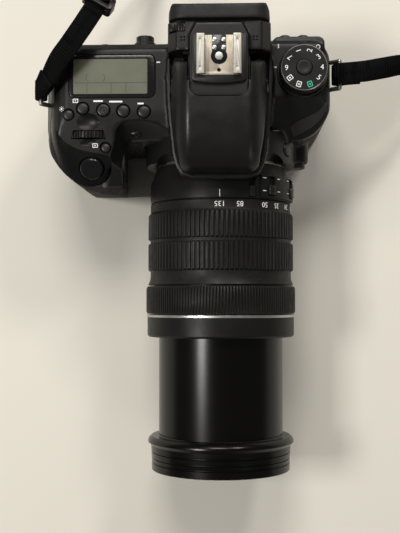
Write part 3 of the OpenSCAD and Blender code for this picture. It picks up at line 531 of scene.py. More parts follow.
@dataclass(frozen=True)
class Liquid(Finish):
    """Grey-green liquid crystal behind its window."""

    colour: Colour = (0.104, 0.109, 0.073)

    def paint(self, shader: Shader) -> None:
        """Fills the node tree: a cloudy field under a clear window."""
        shader.feed(
            Base_Color=shader.blend(
                shader.noise(30, 2), tuple(c * 0.9 for c in self.colour), tuple(c * 1.1 for c in self.colour)
            ),
            Roughness=shader.spread(shader.noise(9, 2), 0.3, 0.4),
            Normal=shader.relief(shader.noise(0.3, 1), 0.006, 0.2),
        )
        shader.set(Coat_Weight=0.6, Coat_Roughness=0.08)


@dataclass(frozen=True)
class CoatedGlass(Finish):
    """Lens glass with its coloured coating."""

    colour: Colour = (0.012, 0.014, 0.03)
    film: float = 420.0

    def paint(self, shader: Shader) -> None:
        """Fills the node tree: dark glass with an interference film and a breath of haze."""
        shader.feed(
            Base_Color=shader.blend(shader.noise(14, 2), self.colour, tuple(c * 1.8 for c in self.colour)),
            Roughness=shader.spread(shader.noise(20, 3), 0.02, 0.06),
        )
        shader.set(Thin_Film_Thickness=self.film, Thin_Film_IOR=1.38, Coat_Weight=0.7, Coat_Roughness=0.02)
        shader.set(IOR=1.6)


@dataclass(frozen=True)
class Webbing(Finish):
    """Woven polyester of the strap."""

    colour: Colour = (0.0022, 0.0022, 0.0023)

    def paint(self, shader: Shader) -> None:
        """Fills the node tree: yarns, lint and a faint sheen."""
        yarns = shader.cells(0.55, "F1")
        lint = shader.noise(1.1, 4)
        shader.feed(
            Base_Color=shader.blend(
                shader.spread(lint, 0, 1, 0.45, 0.8), self.colour, tuple(c * 1.8 for c in self.colour)
            ),
            Roughness=shader.spread(lint, 0.55, 0.75),
            Normal=shader.relief(yarns, -0.16, 0.8),
        )
        shader.set(Sheen_Weight=0.004, Sheen_Roughness=0.5, Specular_IOR_Level=0.05)


SHELL = MouldedPlastic("grained_shell")
HEAD_SHELL = MouldedPlastic("flash_head_shell", colour=(0.0065, 0.0065, 0.0062), roughness=0.34, grain=0.3,
                            specular=0.3)
PLATE = MouldedPlastic("shutter_plate_skin", colour=(0.004, 0.004, 0.0042), roughness=0.28, depth=0.02,
                       strength=0.3)
CONTROL = MouldedPlastic("button_caps", colour=(0.012, 0.012, 0.0116), roughness=0.34, grain=0.25, depth=0.03)
DARK_CONTROL = MouldedPlastic("dial_plastic", colour=(0.0065, 0.0065, 0.0065), roughness=0.34, depth=0.02)
GRIP = LeatherRubber("grip_leather_rubber")
RUBBER = SoftRubber("soft_rubber")
RIBS = SoftRubber("ring_rubber", colour=(0.0085, 0.0085, 0.008), roughness=0.44, specular=0.16)
BARREL = MouldedPlastic("barrel_grain", colour=(0.0075, 0.0075, 0.0072), roughness=0.4, grain=0.4,
                        specular=0.16)
SATIN = MouldedPlastic("inner_barrel_satin", colour=(0.0012, 0.0012, 0.001), roughness=0.24, depth=0.004,
                       strength=0.1, specular=0.24, mottle=0.004)
BADGE = MouldedPlastic("bare_badge", colour=(0.022, 0.022, 0.021), roughness=0.34, depth=0.01, specular=0.4)
MATT = MouldedPlastic("chamber_flock", colour=(0.01, 0.01, 0.01), roughness=0.8, grain=0.2)
GLOSS = GlossPlastic("polished_black")
STEEL = Steel("brushed_steel")
RAIL = Steel("shoe_rails", colour=(0.44, 0.42, 0.37), roughness=0.5, metallic=0.6, brush=0.08)
WIRE = Steel("ring_wire", colour=(0.4, 0.39, 0.37), roughness=0.36, brush=0.1)
TAN = Steel("shoe_floor", colour=(0.4, 0.35, 0.28), roughness=0.48, along=(1.6, 0.12, 1), metallic=0.55)
SILVER = Steel("silver_line", colour=(0.5, 0.5, 0.49), roughness=0.36, brush=0.1)
WHITE = Ink("white_ink")
TEAL = Ink("teal_ink", colour=(0.03, 0.48, 0.3))
DARK_INK = Ink("segment_ink", colour=(0.045, 0.048, 0.033))
LCD = Liquid("status_crystal")
GLASS = CoatedGlass("coated_glass")
CLEAR = CoatedGlass("eyepiece_glass", colour=(0.03, 0.035, 0.04), film=300.0)
MIRROR = Steel("front_silver", colour=(0.86, 0.87, 0.88), roughness=0.12)
CHIP = CoatedGlass("sensor_filter", colour=(0.03, 0.09, 0.07), film=520.0)
WEBBING = Webbing("strap_webbing")
LAMP = Ink("lamp_lens", colour=(0.75, 0.7, 0.62))


def dress(piece: Solid, finish: Finish) -> None:
    """Gives a piece or a node its finish."""
    material = finish.material()
    piece.data.materials.clear()
    piece.data.materials.append(material)


def fit(piece: Solid, body: str, slot: str, finish: Finish, *nodes: str, angle: float = 35) -> Solid:
    """Finishes a piece and ties it to the frame."""
    pick(piece)
    bpy.ops.object.shade_smooth_by_angle(angle=math.radians(angle))
    dress(piece, finish)
    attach(piece, body)
    if nodes:
        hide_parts(*nodes)
    LOG.info("%s: %d faces on %s", piece.name, len(piece.data.polygons), body)
    return piece


@dataclass(frozen=True)
class Body:
    """Driving sizes that the body's pieces share."""

    axis_z: float = 41.0
    grip_side: float = 85.5
    dial_side: float = 53.5
    back: float = 25.5
    front: float = -20.0
    grip_front: float = -45.5
    grip_inner: float = 47.0
    base: float = 4.0
    seam_z: float = 59.0
    seam_y: float = 14.0
    deck: float = 76.5
    side_deck: float = 74.0
    finder_half: float = 24.0
    finder_back: float = 31.0
    finder_top: float = 95.5
    mount_y: float = -33.0
    surround: float = 38.0
    lean_top: float = 45.0
    lean_front: float = 4.3
    foot_inner: float = 52.0
    shoulder: tuple[Flat, ...] = ((12, 0), (8.1, 1.7), (5.3, 4.5), (3.2, 8), (1.6, 12.5), (0.6, 16), (0, 19))

    def plan(self, inset: float = 0, steps: int = 10) -> list[Flat]:
        """Returns the outline of the body from above, taken in by an inset."""
        return (
            arc((self.dial_side - 9, self.back - 9), 9 - inset, 0, 90, steps)
            + arc((-self.grip_side + 13, self.back - 13), 13 - inset, 90, 180, steps)
            + arc((-self.grip_side + 32, self.grip_front + 32), 32 - inset, 180, 270, steps)
            + arc((-self.grip_inner - 6, self.grip_front + 6), 6 - inset, 270, 360, steps)
            + arc((-self.grip_inner + 6, self.front - 6), 6 + inset, 180, 90, steps)
            + arc((self.dial_side - 18, self.front + 18), 18 - inset, 270, 360, steps)
        )

    def mass(self, name: str, inset: float, low: float, high: float) -> Solid:
        """Returns the body between two heights, taken in by an inset, with the lean of its grip."""
        front, foot = self.grip_front + inset, self.grip_front + self.lean_front + inset
        inner, toe = -self.grip_inner - inset, -self.foot_inner - inset
        ahead = [(front, self.lean_top), (foot, 0), (foot, -20), (-100, -20), (-100, self.lean_top)]
        beside = [(inner, self.lean_top), (toe, 0), (toe, -20), (-30, -20), (-30, self.lean_top)]
        body = prism(name, self.plan(inset), Plane.XY, low, high)
        cut(body, prism("lean_ahead", ahead, Plane.YZ, -100, -self.grip_inner + 6))
        return cut(body, prism("lean_beside", beside, Plane.XZ, -100, self.front + inset))

    def deck_at(self, x: float, y: float) -> float:
        """Returns the height of the grip side's deck at a point."""
        height = self.deck - max(0.0, -8 - y) * 0.2
        for (a, b), (c, d) in zip(self.shoulder[1:], self.shoulder):
            if a <= x + self.grip_side <= c:
                height = min(height, self.deck - d - (b - d) * (c - x - self.grip_side) / (c - a))
        return height

    def side_at(self, x: float, y: float) -> float:
        """Returns the height of the dial side's deck and of the slope in front of it."""
        round_off = max(0.0, x - self.dial_side + 8)
        edge = self.side_deck - 8 + math.sqrt(max(0.0, 64 - round_off * round_off))
        return min(edge, self.side_deck - max(0.0, -1 - y) * 13.5 / 19)


BODY = Body()
LENS_CENTRE = Vector((0, BODY.mount_y, BODY.axis_z))
SKIN_GAP = 0.08


@dataclass
class Studio:
    """The viewpoint, the floor and the lamps."""

    eye: tuple[float, float, float] = (5.8, -97.9, 541.0)
    look: tuple[float, float, float] = (-0.03265, 0.0342, -1.0)
    focal: float = 88.2
    floor_size: float = 6000.0

    def build(self) -> None:
        """Places the camera, the floor and the lamps."""
        self.add_camera()
        self.add_floor()
        self.add_lamp("window_left", (-700, -80, 1080), (-30, -40, 0), 260, 8.5, (1.0, 0.985, 0.95))
        self.add_lamp("window_right", (560, 900, 950), (20, -60, 0), 240, 6.5, (1.0, 0.98, 0.95))
        self.add_lamp("ceiling", (-100, 800, 1150), (0, 0, 0), 500, 10.0, (1.0, 0.97, 0.92))
        self.add_lamp("fill", (800, -1000, 800), (0, 0, 0), 500, 2.0, (1.0, 0.98, 0.95))
        world = bpy.data.worlds.new("room")
        bpy.context.scene.world = world
        world.use_nodes = True
        sky = world.node_tree.nodes["Background"]
        sky.inputs["Color"].default_value = (1.0, 0.97, 0.93, 1)
        sky.inputs["Strength"].default_value = 0.14
        bpy.context.scene.view_settings.view_transform = "Standard"

    def add_camera(self) -> None:
        """Places the camera at the viewpoint of the picture."""
        deselect()
        bpy.ops.object.camera_add(location=Vector(self.eye) * MM)
        camera = named("viewpoint")
        ahead = Vector(self.look).normalized()
        right = ahead.cross(BACK).normalized()
        camera.rotation_euler = Matrix((right, right.cross(ahead), -ahead)).transposed().to_euler()
        camera.data.sensor_fit = "HORIZONTAL"
        camera.data.sensor_width = 36
        camera.data.lens = self.focal
        camera.data.clip_start = 0.01
        bpy.context.scene.camera = camera

    def add_floor(self) -> None:
        """Lays the pale floor."""
        deselect()
        bpy.ops.mesh.primitive_plane_add(size=self.floor_size * MM)
        floor = named("table_top")
        shader = Shader("pale_table")
        shader.feed(Base_Color=shader.blend(shader.noise(260, 3), (0.66, 0.625, 0.55), (0.7, 0.67, 0.605)))
        shader.set(Roughness=0.55, Specular_IOR_Level=0.25)
        floor.data.materials.append(shader.material)

    def add_lamp(
        self, name: str, spot: Sequence[float], aim: Sequence[float], size: float, power: float,
        colour: Colour
    ) -> None:
        """Hangs a square soft lamp."""
        deselect()
        bpy.ops.object.light_add(type="AREA", location=Vector(spot) * MM)
        lamp = named(name)
        lamp.rotation_euler = (Vector(aim) - Vector(spot)).to_track_quat("-Z", "Y").to_euler()
        lamp.data.size = size * MM
        lamp.data.energy = power
        lamp.data.color = colour


@dataclass
class NeckStrap:
    """The webbing strap: both ends on their rings and the slack folded into a hank."""

    width: float = 10.0
    wall: float = 1.6
    hank_start: float = 12.0
    hank_end: float = 82.0
    hank_y: tuple[float, ...] = (113.0, 125.0, 137.0, 149.0, 161.0)
    hank_z: float = 5.2
    step: float = 0.65

    LEFT_LOOP = (
        (-82.2, 7.8, 81.2), (-84.4, 5.6, 78), (-86.6, 4.3, 74.8), (-88.2, 4, 72.4), (-88.9, 4, 70.6),
        (-88.2, 4, 68.9), (-86.5, 4, 68.1),
    )
    LEFT_LOOP_WIDTH = (
        (0.45, -0.89, 0), (0.35, -0.94, 0), (0.15, -0.99, 0), (0, -1, 0), (0, -1, 0), (0, -1, 0), (0, -1, 0),
    )
    RIGHT_LOOP = ((67.5, 11.2, 69.6), (62, 11, 68.6), (59.2, 10.9, 67.6), (56.9, 10.8, 67.1))
    LEFT = (
        (-84.8, 4, 69.2), (-84.6, 4.1, 73), (-82.9, 6.2, 77.2), (-79.6, 10.2, 81.8), (-75.5, 15.6, 85.6),
        (-70.2, 21.8, 87.7), (-64.3, 30, 88.3), (-59.2, 38, 87.8), (-56.6, 42.6, 86.2), (-53.4, 48.5, 81.5),
        (-50.8, 55, 73.5), (-48.3, 61.5, 61), (-45.5, 68, 44), (-42, 75, 27), (-37, 82, 13.5),
        (-30, 89.5, 6.8), (-21.5, 96.5, 5.2), (-11, 103.5, 5.2), (2, 110, 5.2),
    )
    LEFT_WIDTH = (
        (0, -1, 0), (0, -1, 0), (0.35, -0.94, 0), (0.55, -0.83, 0), (0.62, -0.78, 0),
        (0.68, -0.73, 0), (0.72, -0.7, 0), (0.8, -0.6, 0), (0.82, -0.57, 0), (0.82, -0.57, 0),
        (0.82, -0.55, 0), (0.83, -0.5, 0.1), (0.82, -0.42, 0.35), (0.7, -0.3, 0.6), (0.45, -0.15, 0.85),
        (0.2, -0.05, 1), (0, 0, 1), (0, 0, 1), (0, 0, 1),
    )
    RIGHT = (
        (54.9, 10.8, 68.4), (56, 10.8, 71), (58.3, 10.9, 72.2), (63, 11.2, 72.3), (70, 11.9, 71.9),
        (79, 13.6, 71), (88, 15.5, 68.8), (96.5, 16.3, 61.5), (103, 15.3, 49), (108.5, 13.6, 33),
        (112.8, 12.6, 16.5), (116.8, 15, 5), (120, 23, 1.4), (122.5, 38, 1), (124, 60, 1), (124.5, 84, 1),
        (123.5, 106, 1.2), (120, 126, 2.6), (113, 144, 4.6), (103, 155, 5.2), (92, 160, 5.2),
    )
    RIGHT_WIDTH = (
        (0, 1, 0), (0, 1, 0), (0, 1, 0), (0, 1, 0), (0, 1, 0.1), (0, 1, 0.3),
        (0, 1, 0.6), (0, 1, 0.5), (0, 1, 0.3), (0, 1, 0), (0.1, 1, 0), (-0.3, 0.9, 0),
        (-0.8, 0.4, 0), (-1, 0.1, 0), (-1, 0, 0), (-1, 0, 0), (-1, 0, -0.2), (-1, -0.1, -0.5),
        (-0.8, -0.2, -0.9), (0, 0, -1), (0, 0, -1),
    )
    SLIDER = 8

    def hank(self) -> list[tuple[float, float, float]]:
        """Returns the points of the folded runs, from left to right."""
        points = []
        for index, y in enumerate(self.hank_y):
            ends = (self.hank_start, self.hank_end) if index % 2 == 0 else (self.hank_end, self.hank_start)
            points += [(ends[0] + (ends[1] - ends[0]) * i / 4, y, self.hank_z) for i in range(5)]
            if index + 1 < len(self.hank_y):
                side = 1 if index % 2 == 0 else -1
                middle = (y + self.hank_y[index + 1]) / 2
                turn = arc((0, middle), middle - y, -60, 60, 4)
                points += [(ends[1] + side * a, b, self.hank_z) for a, b in turn]
        return points

    def route(self) -> tuple[list[Vector], list[Vector]]:
        """Returns the points of the whole strap and the way that its width lies at each."""
        middle = (*self.LEFT, *self.hank(), *self.RIGHT[::-1])
        points = [Vector(p) for p in (*self.LEFT_LOOP, *middle, *self.RIGHT_LOOP[::-1])]
        first, last = self.LEFT_LOOP_WIDTH, ((0, 1, 0),) * len(self.RIGHT_LOOP)
        hank = ((0, 0, 1),) * len(self.hank())
        widths = [Vector(w) for w in (*first, *self.LEFT_WIDTH, *hank, *self.RIGHT_WIDTH[::-1], *last)]
        for index in range(1, len(widths)):
            if widths[index].dot(widths[index - 1]) < 0:
                widths[index] = -widths[index]
        return points, widths

    def samples(self) -> tuple[list[Vector], list[Vector]]:
        """Returns points a step apart on a smooth curve through the route, with their widths."""
        points, widths = self.route()
        fine: list[Vector] = []
        ways: list[Vector] = []
        for i in range(len(points) - 1):
            before = points[max(i - 1, 0)]
            after = points[min(i + 2, len(points) - 1)]
            count = max(2, round((points[i + 1] - points[i]).length / self.step))
            for k in range(count):
                t = k / count
                fine.append(spline(before, points[i], points[i + 1], after, t))
                ways.append(widths[i].lerp(widths[i + 1], t).normalized())
        fine.append(points[-1])
        ways.append(widths[-1].normalized())
        return fine, ways

    def build(self) -> None:
        """Makes the webbing, its slider and the tie of the hank."""
        path, ways = self.samples()
        strap = self.webbing(path, ways)
        fit(strap, "camera_body", "webbing", WEBBING, "strap_left", "strap_right", "strap_hank", angle=50)
        slider = self.slider()
        fit(slider, "camera_body", "control", DARK_CONTROL, "strap_slider")
        tie = self.tie()
        fit(tie, "camera_body", "webbing", WEBBING)

    def webbing(self, path: Sequence[Vector], ways: Sequence[Vector]) -> Solid:
        """Returns the ribbed webbing along the path."""
        section = [(1, 0.45), (0.92, 1), (0, 1.08), (-0.92, 1), (-1, 0.45)]
        section += [(-1, -0.45), (-0.92, -1), (0, -1.08), (0.92, -1), (1, -0.45)]
        frames = []
        for i, point in enumerate(path):
            along = (path[min(i + 1, len(path) - 1)] - path[max(i - 1, 0)]).normalized()
            across = (ways[i] - along * ways[i].dot(along)).normalized()
            frames.append((point, across, along.cross(across)))
        last = len(path) - 1

        def place(around: float, along: float) -> Vector:
            index = round(along * last)
            point, across, normal = frames[index]
            ridge = 1.1 if index % 2 else 0.45
            a, b = section[round(around * len(section)) % len(section)]
            return point + across * (a * self.width / 2) + normal * (b * ridge * self.wall / 2)

        strap = loft("neck_strap", len(section), last, place)
        with editing(strap):
            bpy.ops.mesh.select_all(action="DESELECT")
            bpy.ops.mesh.select_mode(type="EDGE")
            bpy.ops.mesh.select_non_manifold()
            bpy.ops.mesh.fill_holes(sides=len(section))
        return strap

    def slider(self) -> Solid:
        """Returns the moulded slider that holds the strap's doubled end."""
        i = self.SLIDER
        point = Vector(self.LEFT[i])
        along = (Vector(self.LEFT[i + 1]) - Vector(self.LEFT[i - 1])).normalized()
        way = Vector(self.LEFT_WIDTH[i])
        across = (way - along * way.dot(along)).normalized()
        normal = along.cross(across)
        frame = prism("strap_keeper", round_rect((-7.5, 7.5), (-3.5, 3.5), 1.6), Plane.XY, -3, 3)
        cut(frame, block("keeper_slot", (-5.4, 5.4), (-20, 20), (-1.8, 1.8)))
        cut(frame, block("keeper_window", (-5.2, 5.2), (-1.4, 1.4), (-9, 9)))
        round_edges(frame, 0.5, 2)
        for vertex in frame.data.vertices:
            a, b, c = vertex.co
            vertex.co = point * MM + across * a + along * b + normal * c
        return frame

    def tie(self) -> Solid:
        """Returns the band that holds the hank."""
        y = (self.hank_y[0] - 2.4, self.hank_y[-1] + 2.4)
        outer = round_rect(y, (0.02, 11.4), 2.6)
        band = prism("hank_tie", outer, Plane.YZ, 42, 52)
        inner = round_rect((y[0] + 1, y[1] - 1), (0.5, 10.6), 2)
        cut(band, prism("tie_inside", inner, Plane.YZ, 30, 60))
        return round_edges(band, 0.2, 2)


def spline(a: Vector, b: Vector, c: Vector, d: Vector, t: float) -> Vector:
    """Returns the point at share t on the smooth curve from b to c, with a before and d after."""
    return 0.5 * (
        2 * b + (c - a) * t + (2 * a - 5 * b + 4 * c - d) * t * t + (3 * b - a - 3 * c + d) * t * t * t
    )


def ball(name: str, centre: Vector, radii: Sequence[float], steps: int = 40) -> Solid:
    """Returns an ellipsoid with these three radii."""
    half = [(math.cos(t), math.sin(t)) for t in (math.radians(-90 + 180 * i / 20) for i in range(21))]
    profile = [(0.0 if abs(r) < 1e-6 else r, h) for r, h in half]
    obj = turned(name, profile, Vector((0, 0, 0)), UP, steps)
    for vertex in obj.data.vertices:
        vertex.co = Vector([vertex.co[i] * radii[i] + centre[i] * MM for i in range(3)])
    return obj


def strip(name: str, upper: Callable[[float, float], Vector], lower: Callable[[float, float], Vector],
          columns: int):
    """Closes the room between two surfaces that share the same shares."""
    rows = 10

    def place(a: float, b: float) -> Vector:
        turn = b * 2 * (rows + 1)
        if turn <= rows:
            return upper(a, turn / rows)
        if turn <= rows + 1:
            return lower(a, 1)
        back = turn - rows - 1
        return lower(a, 1 - back / rows) if back <= rows else upper(a, 0)

    solid = loft(name, columns, 2 * (rows + 1), place)
    with editing(solid):
        bpy.ops.mesh.select_all(action="DESELECT")
        bpy.ops.mesh.select_non_manifold()
        bpy.ops.mesh.fill_holes(sides=0)
        bpy.ops.mesh.select_all(action="SELECT")
        bpy.ops.mesh.normals_make_consistent(inside=False)
    return solid


def curve_through(points: Sequence[Sequence[float]], share: float) -> Vector:
    """Returns the point at a share of a smooth curve through the points."""
    knots = [Vector(p) for p in points]
    place = min(max(share, 0.0), 1.0) * (len(knots) - 1)
    i = min(int(place), len(knots) - 2)
    return spline(knots[max(i - 1, 0)], knots[i], knots[i + 1], knots[min(i + 2, len(knots) - 1)], place - i)


def smooth_line(points: Sequence[Flat], steps: int) -> list[Flat]:
    """Returns points along a smooth line through the points of an outline."""
    knots = [(a, b, 0.0) for a, b in points]
    line = [curve_through(knots, i / steps) for i in range(steps + 1)]
    return [(p.x, p.y) for p in line]


@dataclass(frozen=True)
class Button:
    """A push button: its node, the point where it leaves the cover, its radius and the way it faces."""

    node: str
    x: float
    y: float
    radius: float
    deck: float
    nub: bool = False
    axis: tuple[float, float, float] = (0, 0, 1)

    def spot(self) -> Vector:
        """Returns the point where the button leaves the cover."""
        return Vector((self.x, self.y, self.deck))

    def hole(self) -> Solid:
        """Returns the solid that cuts its hole with a small countersink."""
        r = self.radius + 0.28
        profile = [(0, -7.2), (r, -7.2), (r, -0.5), (r + 0.6, 0.15), (r + 0.6, 20), (0, 20)]
        return turned(f"{self.node}_hole", profile, self.spot(), Vector(self.axis), 48)

    def build(self) -> None:
        """Makes the cap, low and slightly domed, with a nub to feel for where it has one."""
        r = self.radius
        crown = [(r, 0.15), (r - 0.12, 0.42), (r - 0.45, 0.62), (r * 0.62, 0.74), (r * 0.3, 0.8), (0, 0.82)]
        if self.nub:
            crown = [(r, 0.15), (r - 0.12, 0.42), (r - 0.45, 0.6), (r * 0.5, 0.5), (0.62, 0.45), (0.5, 0.75),
                     (0, 0.88)]
        profile = [(0, -4.5), (r, -4.5), *crown]
        cap = turned(f"{self.node}_cap", profile, self.spot(), Vector(self.axis), 48)
        fit(cap, self.node, "control", CONTROL, self.node)


TOP_BUTTONS = (
    Button("lamp_button", -72.6, -9.3, 2.45, 76.25),
    Button("metering_button", -65.6, -6.3, 2.7, 76.5),
    Button("iso_button", -55.7, -7.1, 2.9, 76.5, nub=True),
    Button("drive_button", -46.1, -7.6, 2.9, 76.5),
    Button("focus_mode_button", -36.2, -8.0, 2.9, 76.5),
    Button("af_area_button", -55.0, -24.8, 2.2, 73.14),
)
FLASH_BUTTON = Button("flash_button", 32.91, -23.8, 3.2, 60.0, axis=(0.86603, 0, 0.5))


@dataclass(frozen=True)
class ShutterPlate:
    """The glossier plate that slopes from the deck to the nose of the grip."""

    wall: float = 1.2
    ridge: tuple = (
        (-81.8, -7.3, 69.2), (-79.3, -14.9, 72.7), (-75.1, -21.3, 73.7), (-68.8, -25.0, 73.2),
        (-62.1, -26.6, 72.7), (-56.2, -27.9, 72.2), (-52.5, -29.4, 71.2),
    )
    rim: tuple = (
        (-82.6, -11.0, 67.4), (-82.2, -20.5, 66.8), (-79.6, -29.6, 66.0), (-74.6, -36.4, 64.8),
        (-66.9, -41.6, 63.6), (-57.4, -40.6, 63.2), (-52.6, -34.4, 66.0),
    )
    middle: tuple[float, float, float] = (-57.0, -17.0, 0)
    button: tuple[float, float, float] = (-62.2, -34.0, 68.86)
    button_radius: float = 5.6
    tilt: float = 31.26

    def axis(self) -> Vector:
        """Returns the way that the shutter button faces."""
        turn = math.radians(self.tilt)
        return Vector((0, -math.sin(turn), math.cos(turn)))

    def top(self, along: float, across: float) -> Vector:
        """Returns a point on the plate's face."""
        start, end = curve_through(self.ridge, along), curve_through(self.rim, along)
        point = start.lerp(end, across)
        point.z += 1.1 * math.sin(math.pi * across) * min(1.0, 4 * along)
        return point

    def under(self, along: float, across: float) -> Vector:
        """Returns a point on the plate's hidden face."""
        return self.top(along, across) - UP * self.wall

    def floor(self, along: float, across: float) -> Vector:
        """Returns a point of the floor that the cover is cut to, run on past the rim into the open."""
        point = self.top(along, min(1.0, across / 0.8)) - UP * 0.5
        out = point - Vector(self.middle)
        out.z = 0
        reach = 40 * max(0.0, across - 0.8) * min(1.0, 4 - 4 * along)
        return point + out.normalized() * reach

    def sky(self, along: float, across: float) -> Vector:
        """Returns the point well over that floor."""
        point = self.floor(along, across)
        return Vector((point.x, point.y, 95))

    def room(self) -> Solid:
        """Returns the solid that clears the cover for the plate."""
        return strip("plate_room", self.sky, self.floor, 48)

    def holes(self) -> list[Solid]:
        """Returns the solids that cut the button's recess."""
        r = self.button_radius
        profile = [(0, -7), (r + 0.3, -7), (r + 0.3, -0.4), (r + 1.7, 0.7), (r + 1.7, 20), (0, 20)]
        return [turned("shutter_recess", profile, Vector(self.button), self.axis(), 64)]

    def build(self) -> None:
        """Makes the plate and the shutter button."""
        plate = strip("shutter_plate", self.top, self.under, 64)
        cut(plate, *self.holes(), TOP_BUTTONS[-1].hole())
        fit(plate, "camera_body", "gloss", PLATE)
        r = self.button_radius
        crown = [(r, 0.9), (r - 0.15, 1.3), (r - 0.6, 1.65), (r * 0.6, 1.72), (r * 0.3, 1.6), (0, 1.52)]
        profile = [(0, -4.5), (r, -4.5), *crown]
        button = turned("shutter_button_cap", profile, Vector(self.button), self.axis(), 64)
        fit(button, "shutter_button", "gloss", GLOSS, "shutter_button")


@dataclass
class MainDial:
    """The knurled wheel behind the shutter button."""

    x: float = -63.2
    y: float = -18.5
    z: float = 64.7
    radius: float = 12.0
    width: float = 3.4
    teeth: int = 44

    def holes(self) -> list[Solid]:
        """Returns the solids that cut its slot and the finger scoops beside it."""
        slot = rod("dial_slot", self.radius + 0.5, Vector((self.x, self.y - 2.1, self.z)), BACK * 4.2, 64)
        behind = ball("finger_scoop", Vector((self.x, self.y + 5.0, 83.2)), (9.5, 7.4, 9.4))
        ahead = ball("front_scoop", Vector((self.x, self.y - 4.2, 81.2)), (8.6, 4.6, 8.6))
        axle = rod("axle_room", 1.5, Vector((self.x, self.y - 4.6, self.z)), BACK * 9.2)
        return [slot, behind, ahead, axle]

    def build(self) -> None:
        """Makes the wheel with its teeth and axle."""
        rim, half = self.radius, self.width / 2
        section = [
            (0, -half, 0, 0), (rim - 0.5, -half, 0, 0), (rim, -0.84 * half, 0.75, 0),
            (rim, 0.84 * half, 0.75, 0), (rim - 0.5, half, 0, 0), (0, half, 0, 0),
        ]
        wheel = toothed("main_dial_wheel", section, self.teeth, 8, 0.5,
                        lambda a, b, h: Vector((self.x + a, self.y + h, self.z + b)))
        axle = rod("main_dial_axle", 1.15, Vector((self.x, self.y - 4.0, self.z)), BACK * 8.0, 24)
        wheel = merge("main_dial_wheel", wheel, axle)
        fit(wheel, "main_dial", "control", DARK_CONTROL, "main_dial", angle=40)


